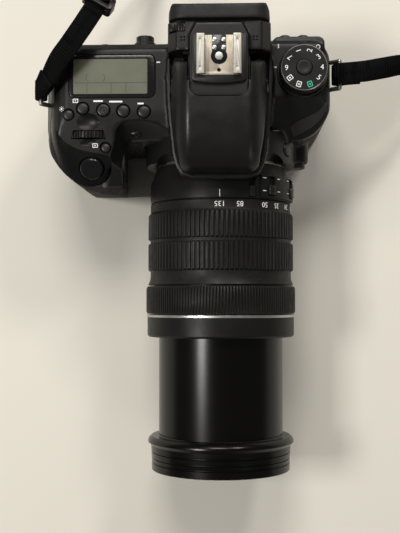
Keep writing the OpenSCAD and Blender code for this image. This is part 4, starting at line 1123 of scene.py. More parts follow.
@dataclass
class TopShell:
    """The top cover with the finder's housing."""

    voxel: float = 0.7
    passes: int = 5
    visor: tuple[Flat, ...] = (
        (-24.6, 17.5), (-25.4, 8.0), (-24.4, -10.0), (-23.2, -21.0), (-22.3, -29.0), (-21.0, -34.2),
        (-18.2, -38.9), (-12.9, -40.9), (0.0, -41.3),
    )
    edge: tuple = (
        (-53.6, -30.0, 72.6), (-52.4, -26.6, 73.2), (-50.8, -21.7, 74.2), (-50.3, -16.8, 75.1),
        (-49.0, -13.8, 75.8), (-46.0, -12.1, 76.2), (-40.9, -11.5, 76.3), (-34.6, -11.9, 76.2),
        (-29.4, -13.4, 75.9), (-26.1, -15.5, 75.4), (-20.0, -19.0, 75.0),
    )
    foot: tuple = (
        (-48.6, -33.5, 61.5), (-47.6, -29.6, 61.8), (-46.6, -25.5, 62.2), (-45.6, -22.6, 62.6),
        (-43.8, -21.0, 63.0), (-41.5, -20.4, 63.4), (-37.5, -20.2, 64.0), (-33.0, -20.4, 64.6),
        (-28.5, -21.2, 65.4), (-25.0, -22.2, 66.2), (-19.0, -24.0, 67.0),
    )

    def mass(self, inset: float = 0.0, drop: float = 0.0) -> Solid:
        """Returns the mass of the deck, taken in and let down."""
        reach = 120.0
        roof = [(-BODY.grip_side, 20 - drop), (BODY.dial_side, 20 - drop)]
        roof += arc((BODY.dial_side - 8, BODY.side_deck - 8 - drop), 8, 0, 90)
        roof += [(14.0, BODY.side_deck - drop), (12.0, BODY.deck - drop)]
        roof += [(a - BODY.grip_side, BODY.deck - b - drop) for a, b in BODY.shoulder]
        grip = [(-8, 76.5), (-28, 72.5), (-42, 64), (-48, 52.5), (-reach, 52.5), (-reach, 170), (-8, 170)]
        lip = [(-8, 76.5), (-28, 72.5), (-reach, 72.5), (-reach, 170), (-8, 170)]
        dial = [(-1, 74), (-20, 60.5), (-reach, 60.5), (-reach, 170), (-1, 170)]
        rear = [(21.0, 77.5), (26.5, 72.6), (40, 72.6), (40, 170), (21.0, 170)]
        deck = prism("top_shell", BODY.plan(inset), Plane.XY, BODY.seam_z - 3 - drop, 110)
        cut(deck, prism("roof", roof, Plane.XZ, -reach, reach), join=Join.COMMON)
        for name, outline, low, high in (
            ("grip_slope", grip, -reach, -41),
            ("lip_slope", lip, -41.5, -BODY.finder_half + 4),
            ("dial_slope", dial, BODY.finder_half - 4, reach),
            ("rear_edge", rear, -reach, reach),
        ):
            lowered = [(a, b - drop) for a, b in outline]
            cut(deck, prism(name, lowered, Plane.YZ, low, high))
        return cut(deck, self.front_fall(drop))

    def front_fall(self, drop: float) -> Solid:
        """Returns the solid that cuts the steep face between the grip and the flash, let down by drop."""
        def fall(along: float, across: float) -> Vector:
            edge, foot = curve_through(self.edge, along), curve_through(self.foot, along)
            share = min(1.0, 2 * across)
            point = edge.lerp(foot, share)
            point.z = edge.z + (foot.z - edge.z) * share ** 0.8 - drop
            away = foot - edge
            away.z = 0
            return point + away.normalized() * 30 * max(0.0, 2 * across - 1)

        def sky(along: float, across: float) -> Vector:
            point = fall(along, across)
            return Vector((point.x, point.y, 110))

        return strip("front_fall", sky, fall, 40)

    def housing(self) -> list[Solid]:
        """Returns the solids of the finder's housing, the visor and the mount's arch."""
        half, back, top = BODY.finder_half, BODY.finder_back, BODY.finder_top
        hump = [(-half, 59), (half, 59), (half, top - 6), (half - 4.5, top), (-half + 4.5, top),
                (-half, top - 6)]
        frame = [(-13.5, 23.2), (-10.6, 28.8), (10.6, 28.8), (13.5, 23.2), (13.5, -5.0), (-13.5, -5.0)]
        core = [(-28, 56), (-28, 84), (-22, 92), (16, 92), (16, 56)]
        return [
            prism("hump", hump, Plane.XZ, 16.6, back),
            prism("button_ledge", round_rect((25.5, 50.5), (19.5, 29), 3), Plane.XY, 60.2, 72.4),
            prism("shoe_seat", frame, Plane.XY, 88, 98.0),
            prism("core", core, Plane.YZ, -16.8, 16.8),
            prism("arch", arc((0, BODY.axis_z), BODY.surround, 0, 180, 48), Plane.XZ, -31, -16),
            prism("visor", both_sides(self.visor), Plane.XY, 57, 82.3),
        ]

    def rooms(self) -> list[Solid]:
        """Returns the solids that cut the hollows of the finder."""
        inner = [(-24.0, 24.0), (-23.0, -10.0), (-21.8, -21.0), (-20.9, -29.0), (-19.6, -33.6),
                 (-17.4, -37.6)]
        inner += [(-12.6, -39.5), (0.0, -39.9)]
        outline = both_sides(inner)
        head = prism("head_room", outline, Plane.XY, 79.6, 130)
        arms = [rod("arm_room", 11.2, Vector((x, 5, 88.5)), RIGHT * 9.1, 64) for x in (-23.4, 14.3)]
        core = [(-28, 60), (-28, 84), (-22, 92), (60, 92), (60, 60)]
        cut(head, prism("core_stays", core, Plane.YZ, -16.8, 16.8))
        cut(head, prism("hump_stays", [(17.0, 60), (17.0, 140), (60, 140), (60, 60)], Plane.YZ, -60, 60))
        cut(head, block("tongue_stays", (-13.5, 13.5), (-5.2, 30), (60, 140)))
        return [head, *arms]

    def build(self) -> None:
        """Makes the cover: kneaded masses, then crisp holes and seams."""
        clay = merge("top_shell", self.mass(), *self.housing())
        knead(clay, self.voxel, self.passes)
        for side in (-1, 1):
            cut(clay, ball("arch_scallop", Vector((side * 27.0, -37.5, 71)), (8.0, 10.5, 15.0)))
        cut(clay, *self.rooms())
        cut(clay, block("below", WIDE, WIDE, (0, BODY.seam_z)))
        hollow = self.mass(2.6, 6.2)
        cut(hollow, block("rear_wall", WIDE, (17.5, 200), (-50, 200)))
        cut(clay, hollow)
        box = [(-17.5, 30), (-17.5, 78), (-16.4, 90), (14, 90), (16, 85), (25, 84), (25, 58), (14, 58),
               (14, 30)]
        cut(clay, prism("prism_room", box, Plane.YZ, -13.9, 13.9))
        cut(clay, *mount_rooms(52.9))
        cut(clay, ZoomLens().chunk("lock_way", 26, 4.6, 4.0, 16.0, 30.0, 36.7))
        cut(clay, block("eyepiece", (-13, 13), (10, 60), (76, 92)))
        cut(clay, rod("dioptre_room", 4.9, Vector((-18.5, 25.3, 91.6)), BACK * 4.6))
        cut(clay, prism("display_seat", round_rect((-72.6, -30.6), (-1.4, 19.9), 3.2), Plane.XY, 73.1, 100))
        cut(clay, SHUTTER_PLATE.room())
        cut(clay, *MainDial().holes(), *SHUTTER_PLATE.holes())
        cut(clay, *[button.hole() for button in (*TOP_BUTTONS, FLASH_BUTTON)])
        dots = [
            rod("microphone", 0.42, Vector((side * 16.7 + 0.7 * a, 22.1 + 0.7 * b, 94)), UP * 4, 16)
            for side in (-1, 1) for a in (-1, 1) for b in (-1, 1)
        ]
        cut(clay, merge("microphones", *dots))
        cut(clay, rod("dial_stem", 3.3, Vector((39.7, 10.7, 60)), UP * 60))
        cut(clay, rod("dial_seat", 13.2, Vector((39.7, 10.7, 73.9)), UP * 40, 64))
        for x, z, r in ((-36.5, 66.2, 5.4), (-56, 66.5, 2.6), (31.7, 66.5, 2.6), (40.4, 66.5, 2.6)):
            cut(clay, rod("rear_hole", r + 0.27, Vector((x, 18.5, z)), BACK * 40))
        cut(clay, GripRubber().grip(SKIN_GAP))
        fit(clay, "camera_body", "shell", SHELL, "top_cover", angle=32)


@dataclass
class GripRubber:
    """Rubber skins of the grip, of the dial side and under the thumb."""

    wall: float = 1.25

    def nose(self, inset: float) -> list[Flat]:
        """Returns the outline that cuts the grip's nose to its lean."""
        return [(-39.4 + inset, 70), (-42.6 + inset, 62.9), (-48.6 + inset, 51.5), (-120, 51.5), (-120, 170),
                (-39, 170)]

    def shoulder(self, inset: float) -> list[Flat]:
        """Returns the outline that cuts the grip's side to the lean of the deck's shoulder."""
        line = [(a - BODY.grip_side + inset, BODY.deck - b) for a, b in BODY.shoulder]
        return [*line, (-120, BODY.deck - 19), (-120, BODY.deck)]

    def skin(self, name: str, grow: float, low: float, high: float) -> Solid:
        """Returns the skin all round the body between two heights, made thicker by grow."""
        outer = BODY.mass(name, -grow, low, high)
        cut(outer, prism("nose", self.nose(-grow), Plane.YZ, -200, -41))
        cut(outer, prism("shoulder", self.shoulder(-grow), Plane.XZ, -200, 200))
        inner = BODY.mass("inside", self.wall + grow, low - 5, high + 9)
        cut(inner, prism("nose", self.nose(self.wall + grow), Plane.YZ, -200, -41))
        cut(inner, prism("shoulder", self.shoulder(self.wall + grow), Plane.XZ, -200, 200))
        return cut(outer, inner)

    def grip(self, grow: float = 0.0) -> Solid:
        """Returns the skin of the grip."""
        skin = self.skin("grip_skin", grow, 8 - grow, 62.6 + grow)
        return cut(skin, block("grip_zone", (-120, -39 + grow), (-120, -16 + grow), (0, 90)),
                   join=Join.COMMON)

    def side(self, grow: float = 0.0) -> Solid:
        """Returns the pad beside the mount."""
        skin = self.skin("side_skin", grow, 9 - grow, 57 + grow)
        cut(skin, block("side_zone", (26 - grow, 120), (-120, -3 + grow), (0, 90)), join=Join.COMMON)
        cut(skin, rod("mount_zone", 38.6 - grow, Vector((0, -60, 41)), BACK * 60, 96))
        return cut(skin, rod("release_zone", 7.2 - grow, Vector((38.5, -60, 40)), BACK * 60))

    def thumb(self, grow: float = 0.0) -> Solid:
        """Returns the pad under the thumb."""
        skin = self.skin("thumb_skin", grow, 42.5 - grow, 57 + grow)
        return cut(skin, block("thumb_zone", (-120, -66 + grow), (15 - grow, 120), (0, 90)), join=Join.COMMON)

    def build(self) -> None:
        """Makes the three skins as one piece."""
        skins = merge("rubber_skin", self.grip(), self.side(), self.thumb())
        round_edges(skins, 0.35, 2, 40)
        fit(skins, "camera_body", "rubber", GRIP, "rubber_skins")


SHUTTER_PLATE = ShutterPlate()


@dataclass
class LowerShells:
    """The front, rear and base covers."""

    def build(self) -> None:
        """Makes the three covers."""
        self.front()
        self.rear()
        self.base()

    def front(self) -> None:
        """Makes the front cover with the mount's surround."""
        mass = BODY.mass("front_shell", 0, 1, 62)
        ring = rod("surround", BODY.surround, Vector((0, -31, 41)), BACK * 16, 96)
        boss = rod("boss", 6.2, Vector((38.5, -28.5, 40)), BACK * 10)
        clay = knead(merge("front_shell", mass, ring, boss), 0.8, 5)
        cut(clay, block("above", WIDE, WIDE, (BODY.seam_z, 200)))
        cut(clay, block("below", WIDE, WIDE, (-100, BODY.base)))
        cut(clay, block("behind", WIDE, (BODY.seam_y, 200), (-100, 200)))
        cut(clay, BODY.mass("hollow", 3.7, -5, 90))
        cut(clay, prism("nose", GripRubber().nose(0), Plane.YZ, -200, -44))
        cut(clay, *mount_rooms(60))
        cut(clay, rod("release_hole", 4.9, Vector((38.5, -70, 40)), BACK * 47.6))
        cut(clay, block("card_gap", (-100, -80.8), (-14.3, 8.3), (13.7, 53.3)))
        cut(clay, block("port_gap", (48.8, 100), (0.2, 11.8), (12.7, 55.3)))
        cut(clay, rod("card_pin", 0.9, Vector((-84, 6.5, 10)), UP * 47, 20))
        cut(clay, rod("port_pin", 0.9, Vector((52, 10, 9)), UP * 50, 20))
        cut(clay, FLASH_BUTTON.hole())
        cut(clay, GripRubber().grip(SKIN_GAP), GripRubber().side(SKIN_GAP))
        fit(clay, "camera_body", "shell", SHELL, "front_cover")

    def rear(self) -> None:
        """Makes the rear cover."""
        mass = prism("rear_shell", BODY.plan(), Plane.XY, BODY.base, BODY.seam_z)
        cut(mass, block("ahead", WIDE, (-200, BODY.seam_y), (-10, 200)))
        round_edges(mass, 0.6, 2, 60)
        hollow = prism("hollow", BODY.plan(3.7), Plane.XY, -5, 90)
        cut(hollow, block("wall", WIDE, (17.5, 200), (-50, 200)))
        cut(mass, hollow)
        cut(mass, prism("monitor_seat", round_rect((-29.5, 46.9), (6.5, 57.5), 2.5), Plane.XZ, 19.6, 90))
        cut(mass, block("hinge_seat", (46, 100), (20.9, 90), (13.5, 50.5)))
        cut(mass, rod("dial_seat", 14.3, Vector((-57, 21.4, 27)), BACK * 30, 64))
        cut(mass, rod("set_seat", 5.3, Vector((-57, 18.6, 27)), BACK * 30))
        cut(mass, rod("playback_seat", 3.1, Vector((-37, 18.6, 46)), BACK * 30))
        cut(mass, GripRubber().thumb(SKIN_GAP))
        fit(mass, "camera_body", "shell", SHELL, "rear_cover")

    def base(self) -> None:
        """Makes the base cover with the tripod socket."""
        mass = BODY.mass("base_shell", 0.9, 0, 4)
        round_edges(mass, 0.7, 3, 50)
        cut(mass, rod("boss_room", 8.0, Vector((0, 0, -5)), UP * 20))
        cut(mass, block("door_gap", (-80.3, -54.7), (-26.3, 11.3), (-5, 9)))
        cut(mass, rod("door_pin", 0.9, Vector((-56.5, -28.5, 1.9)), BACK * 42, 20))
        for x, y in ((-80, 14), (44, 14), (40, -8), (-30, -12), (-30, 18)):
            cut(mass, rod("screw_head", 2.25, Vector((x, y, -1)), UP * 3, 24))
            cut(mass, rod("screw_shank", 1.5, Vector((x, y, -1)), UP * 9, 24))
        turns = [(3.2 + (0.35 if i % 2 else 0), 8.0 - 0.62 * i) for i in range(13)]
        socket = [(8.0, 9.0), (3.2, 9.0), (3.2, 8.0), *turns[1:], (4.0, 0.0), (7.4, 0.0), (8.0, 0.5)]
        bush = turned("tripod_bush", socket, Vector((0, 0, 0)), UP, 64)
        fit(bush, "camera_body", "bright", STEEL)
        fit(mass, "camera_body", "shell", SHELL, "base_cover")


@dataclass
class FlashHead:
    """The lifting flash head over the finder."""

    brow: tuple[Flat, ...] = (
        (-36.2, 80.4), (-38.0, 82.0), (-38.7, 85.0), (-38.0, 88.4), (-35.6, 92.3), (-31.0, 95.7),
        (-24.0, 98.3), (-15.0, 99.9), (-5.6, 100.2),
    )
    heel: tuple[Flat, ...] = (
        (-1.0, 99.95), (4.0, 99.3), (8.0, 98.3), (11.0, 96.8), (13.4, 94.5), (15.0, 91.5), (15.3, 88.5),
        (13.6, 84.6), (10.5, 81.6), (6.0, 80.4), (2.0, 80.4),
    )
    flank: tuple[Flat, ...] = (
        (12.0, -0.5), (13.8, -0.1), (15.0, 0.45), (16.8, 1.7), (19.4, 4.5), (21.6, 8.4), (22.7, 12.2),
        (23.6, 24.0)
    )
    arm: tuple[Flat, ...] = (
        (-13.0, 11.4), (-16.0, 11.8), (-18.0, 13.6), (-19.8, 15.0), (-21.5, 13.6), (-22.4, 10.0), (-22.4, 4.0)
    )
    hinge: Flat = (5.0, 88.5)
    tongue: float = 13.6
    corner: float = 5.0

    def fall(self, side: int) -> Solid:
        """Returns the solid that cuts one flank, which falls away from the ridge of the head."""
        run = [(-43.0, 76.0), (-40.5, 82.0), *self.brow[3:], *self.heel[:6], (16.2, 86.0), (17.0, 80.0)]
        ridge = [(a, b, 0.0) for a, b in run]
        slope = [(a, b, 0.0) for a, b in self.flank]

        def flank(along: float, across: float) -> Vector:
            top, side_step = curve_through(ridge, along), curve_through(slope, across)
            return Vector((side * side_step.x, top.x, top.y - side_step.y))

        def sky(along: float, across: float) -> Vector:
            point = flank(along, across)
            return Vector((point.x, point.y, 130))

        return strip("flank_fall", sky, flank, 56)

    def tongue_way(self) -> Solid:
        """Returns the room that the tongue and the shoe need while the head lifts."""
        end, high = -0.6, 100.15

        def reach(x: float) -> float:
            over = max(0.0, abs(x) - self.tongue + self.corner)
            front = end - math.sqrt(max(0.0, self.corner ** 2 - over ** 2))
            return math.hypot(self.hinge[0] - front, high - self.hinge[1])

        steps = [self.tongue * (i / 17 - 1) for i in range(35)]
        profile = [(0, 0), *[(reach(x), x + self.tongue) for x in steps], (0, 2 * self.tongue)]
        return turned("tongue_way", profile, Vector((-self.tongue, *self.hinge)), RIGHT, 96)

    def build(self) -> None:
        """Makes the head: three outlines in common, rounded, then hollowed."""
        plan = [*self.arm, (-21.8, -10), (-20.6, -22), *arc((-13.1, -33.4), 5.6, 175, 270), (0, -39.0)]
        section = smooth_line(self.brow, 48) + smooth_line(self.heel, 32)
        head = prism("flash_housing", section, Plane.YZ, -30, 30)
        cut(head, prism("from_above", [*plan[:-1], *[(-a, b) for a, b in plan[-2::-1]]], Plane.XY, 60, 120),
            join=Join.COMMON)
        cut(head, self.fall(-1), self.fall(1))
        knead(head, 0.5, 16)
        notch = [*arc((-8.6, -0.6), 5.0, 180, 270), *arc((8.6, -0.6), 5.0, 270, 360), (13.6, 40), (-13.6, 40)]
        cut(head, prism("tongue_notch", notch, Plane.XY, 60, 130))
        rear = [(-13.2, 79), (-13.2, 90), (13.2, 90), (13.2, 79)]
        cut(head, prism("core_way", rear, Plane.XZ, -28, 60))
        hollow = prism("lamp_room",
                       [(-36.4, 60), (-36.4, 88), (-34, 91), (-29.8, 94), (-23.4, 96.3), (-8.5, 97.4),
                                     (-8.5, 60)], Plane.YZ, -14.4, 14.4)
        cut(head, hollow)
        core = [(-28.6, 60), (-28.6, 84.4), (-22.4, 92.5), (40, 92.5), (40, 60)]
        cut(head, prism("core_room", core, Plane.YZ, -17.3, 17.3))
        cut(head, self.tongue_way(), block("arm_gap", (-14.6, 14.6), (2, 40), (60, 130)))
        cut(head, rod("pin_hole", 2.08, Vector((-40, *self.hinge)), RIGHT * 80, 32))
        fit(head, "flash_head", "shell", HEAD_SHELL, "flash_head", angle=30)
        lens = prism("flash_window", round_rect((-15.5, 15.5), (81.2, 87.4), 1.2), Plane.XZ, -37.3, -35.2)
        round_edges(lens, 0.3, 2)
        fit(lens, "flash_head", "glass", LAMP)
        pin = rod("flash_pin", 1.95, Vector((-21.4, 5, 88.5)), RIGHT * 42.8, 32)
        fit(pin, "camera_body", "control", DARK_CONTROL)


@dataclass
class HotShoe:
    """The accessory shoe with its contacts, and the panels around it."""

    front: float = 4.4
    back: float = 22.7
    floor: float = 98.0

    def build(self) -> None:
        """Makes the floor plate, the rails, the insulator and the pins."""
        y = (self.front, self.back)
        floor = prism("shoe_floor", round_rect((-9.2, 9.2), y, 0.8), Plane.XY, self.floor, self.floor + 1.0)
        cut(floor, rod("lock_hole", 0.9, Vector((0, 6.6, 90)), UP * 20, 24))
        round_edges(floor, 0.15, 2)
        fit(floor, "camera_body", "bright", TAN)
        fit(self.frame(), "camera_body", "shell", SHELL)
        rails = [self.rail(side) for side in (-1, 1)]
        fit(merge("shoe_rails", *rails), "camera_body", "bright", RAIL, "hot_shoe")
        key = [(-3.2, 22.6), (-3.2, 14.8), *arc((0, 13.0), 3.7, 150, 390, 24), (3.2, 14.8), (3.2, 22.6)]
        mat = prism("contact_mat", key, Plane.XY, self.floor + 1.0, self.floor + 1.4)
        round_edges(mat, 0.12, 2)
        fit(mat, "camera_body", "control", GLOSS, "shoe_contacts")
        pins = []
        spots = ((-2.1, 20.5, 1.15), (2.1, 20.5, 1.15), (-2.1, 16.9, 1.15), (2.1, 16.9, 1.15), (0, 13, 1.9))
        for x, yy, r in spots:
            profile = [(0, 0), (r, 0), (r, 0.25), (r - 0.18, 0.42), (r * 0.5, 0.5), (0, 0.5)]
            pins.append(turned("pin", profile, Vector((x, yy, self.floor + 1.3)), UP, 32))
        fit(merge("contact_pins", *pins), "camera_body", "bright", SILVER)

    def frame(self) -> Solid:
        """Returns the raised frame round the shoe, bowed at its front and open at its back."""
        left = [(-12.4, 23.2), (-12.4, 3.2), (-12.0, 2.0), (-10.8, 1.4), (-6.0, 0.7), (0.0, 0.4)]
        outline = both_sides(left)
        frame = prism("shoe_frame", outline, Plane.XY, self.floor - 2.0, self.floor + 1.7)
        round_edges(frame, 0.35, 2)
        return cut(frame, block("shoe_room", (-10.5, 10.5), (self.front - 0.1, 40), (60, 130)))

    def rail(self, side: int) -> Solid:
        """Returns one rail: its wall and the lip that holds a foot down."""
        section = [(10.3, 98.0), (10.3, 102.0), (9.9, 102.4), (6.7, 102.4), (6.4, 102.1), (6.4, 101.2),
                   (9.2, 101.1)]
        section += [(9.2, 98.0)]
        rail = prism("rail", [(side * a, b) for a, b in section], Plane.XZ, self.front, self.back)
        for y in (7.2, 19.8):
            cut(rail, rod("rivet_dimple", 0.55, Vector((side * 8.4, y, 102.1)), UP * 3, 20))
        return round_edges(rail, 0.18, 2)


@dataclass
class StatusDisplay:
    """The liquid-crystal display of the deck."""

    x: Flat = (-72.4, -30.8)
    y: Flat = (-1.2, 19.7)
    top: float = 76.3

    def build(self) -> None:
        """Makes the bezel, the window and the segments."""
        bezel = prism("display_bezel", round_rect(self.x, self.y, 3.0), Plane.XY, 73.2, self.top)
        round_edges(bezel, 0.35, 3)
        cut(bezel,
            prism("window_seat", round_rect((-70.3, -34.6), (0.8, 17.7), 0.7), Plane.XY, self.top - 0.35, 90))
        fit(bezel, "camera_body", "gloss", GLOSS, "status_display")
        window = prism("display_window", round_rect((-70.25, -34.65), (0.85, 17.65), 0.65), Plane.XY,
                       self.top - 0.5, self.top - 0.12)
        fit(window, "camera_body", "display", LCD)
        bars = [block("line", (-70.0, -34.9), (6.05, 6.4), (76.1, 76.22))]
        for x in (-63.7, -52.0, -44.9):
            bars.append(block("divider", (x - 0.16, x + 0.16), (1.1, 6.2), (76.1, 76.22)))
        for x, start in ((-63.1, 120), (-56.0, -60)):
            ring = arc((x + (1.0 if start > 0 else -1.0), 8.65), 2.1, start, start + 120, 12)
            hole = arc((x + (1.0 if start > 0 else -1.0), 8.65), 1.75, start + 120, start, 12)
            bars.append(prism("bracket", ring + hole, Plane.XY, 76.1, 76.22))
        fit(merge("display_segments", *bars), "camera_body", "display", DARK_INK)


def lettering(name: str, text: str, size: float, wall: float = 0.12) -> Solid:
    """Returns plain numbers as a mesh, centred on the origin in the XY plane."""
    deselect()
    bpy.ops.object.text_add()
    words = bpy.context.object
    words.data.body = text
    words.data.align_x = "CENTER"
    words.data.align_y = "CENTER"
    words.data.size = size * MM * 1.38
    words.data.extrude = wall * MM / 2
    words.data.resolution_u = 4
    bpy.ops.object.convert(target="MESH")
    return named(name)


def moved(obj: Solid, place: Callable[[Vector], Vector]) -> Solid:
    """Puts every point of the mesh where place says, in millimetres, and returns the object."""
    for vertex in obj.data.vertices:
        vertex.co = place(vertex.co / MM) * MM
    return obj


@dataclass
class ModeDial:
    """The mode dial with its lock and the power lever under it."""

    x: float = 39.7
    y: float = 10.7
    bottom: float = 76.3
    top: float = 85.7
    radius: float = 11.6
    teeth: int = 60

    def centre(self, z: float) -> Vector:
        """Returns the point on the dial's axis at a height."""
        return Vector((self.x, self.y, z))

    def build(self) -> None:
        """Makes the dial, its ring and marks, the lock button and the lever."""
        rim, tall = self.radius, self.top - self.bottom
        rows = [
            (3.9, 0, 0), (rim - 0.5, 0, 0), (rim, 0.06, 0.45), (rim, 0.84, 0.45), (rim * 0.965, 0.9, 0),
            (rim * 0.93, 0.96, 0), (rim * 0.9, 1, 0), (rim * 0.36, 1, 0),
        ]
        section = [(radius, self.bottom + rise * tall, gap, 0) for radius, rise, gap in rows]
        dial = toothed("mode_dial_cap", section, self.teeth, 8, 0.6,
                       lambda a, b, h: self.centre(h) + Vector((a, b, 0)))
        wall = [(3.9, 0), (4.3, 0), (4.3, 9.35), (3.9, 9.35)]
        well = turned("lock_well", wall, self.centre(self.bottom), UP, 48)
        stem = rod("dial_stem", 2.9, self.centre(70.2), UP * 7.0, 32)
        dial = merge("mode_dial_cap", dial, well, stem)
        fit(dial, "mode_dial", "control", DARK_CONTROL, "mode_dial", angle=40)
        band = [(10.42, -0.05), (10.72, -0.32), (10.86, -0.2), (10.5, 0.1)]
        ring = turned("mode_dial_ring", band, self.centre(self.top), UP, 96)
        fit(ring, "mode_dial", "bright", SILVER)
        self.marks()
        r = 3.6
        lock = [(0, -2.8), (r, -2.8), (r, 0.45), (r - 0.2, 0.65), (r - 0.7, 0.72), (r * 0.5, 0.55), (0, 0.5)]
        cap = turned("mode_lock_cap", lock, self.centre(self.top), UP, 48)
        fit(cap, "mode_lock_button", "control", CONTROL, "mode_lock_button")
        self.lever()

    def marks(self) -> None:
        """Prints plain numbers and framed icons on the dial's face."""
        white = []
        for number, angle in enumerate((108, 72, 36, 0, -36, 180, 144), start=1):
            white.append(self.print_at(lettering("number", str(number), 2.5), angle))
        for angle in (-108, -144):
            white.append(self.print_at(self.icon(), angle))
        fit(merge("mode_numbers", *white), "mode_dial", "bright", WHITE)
        fit(merge("mode_auto_mark", self.print_at(self.icon(), -72)), "mode_dial", "bright", TEAL)

    def icon(self) -> Solid:
        """Returns a plain framed square with a dot."""
        return framed_dot("icon", (1.35, 1.15), 0.35, 0.42, (Plane.XY, -0.05, 0.05))

    def print_at(self, mark: Solid, angle: float) -> Solid:
        """Returns the mark laid on the face, its foot towards the rim."""
        turn = math.radians(angle)
        out = Vector((math.cos(turn), math.sin(turn), 0))
        up = Vector((-out.y, out.x, 0))
        spot = self.centre(self.top + 0.03) + out * 8.3
        return moved(mark, lambda p: spot + out * p.x + up * p.y + UP * p.z)

    def lever(self) -> None:
        """Makes the power lever: a collar under the dial with a ridged tab."""
        section = [(3.3, 0.2), (12.0, 0.2), (12.2, 0.5), (12.2, 1.6), (11.9, 2.0), (3.3, 2.0)]
        collar = turned("power_collar", section, self.centre(74.0), UP, 96)
        outline = [(36.9, 20), (37.3, 24.6), (38.2, 25.4), (41.2, 25.4), (42.1, 24.6), (42.5, 20)]
        tab = prism("lever_tab", outline, Plane.XY, 74.2, 76.0)
        for i in range(4):
            cut(tab, block("tab_groove", (36, 44), (22.0 + i * 0.8, 22.35 + i * 0.8), (75.6, 90)))
        fit(merge("power_lever_ring", collar, tab), "power_lever", "control", CONTROL, "power_lever")


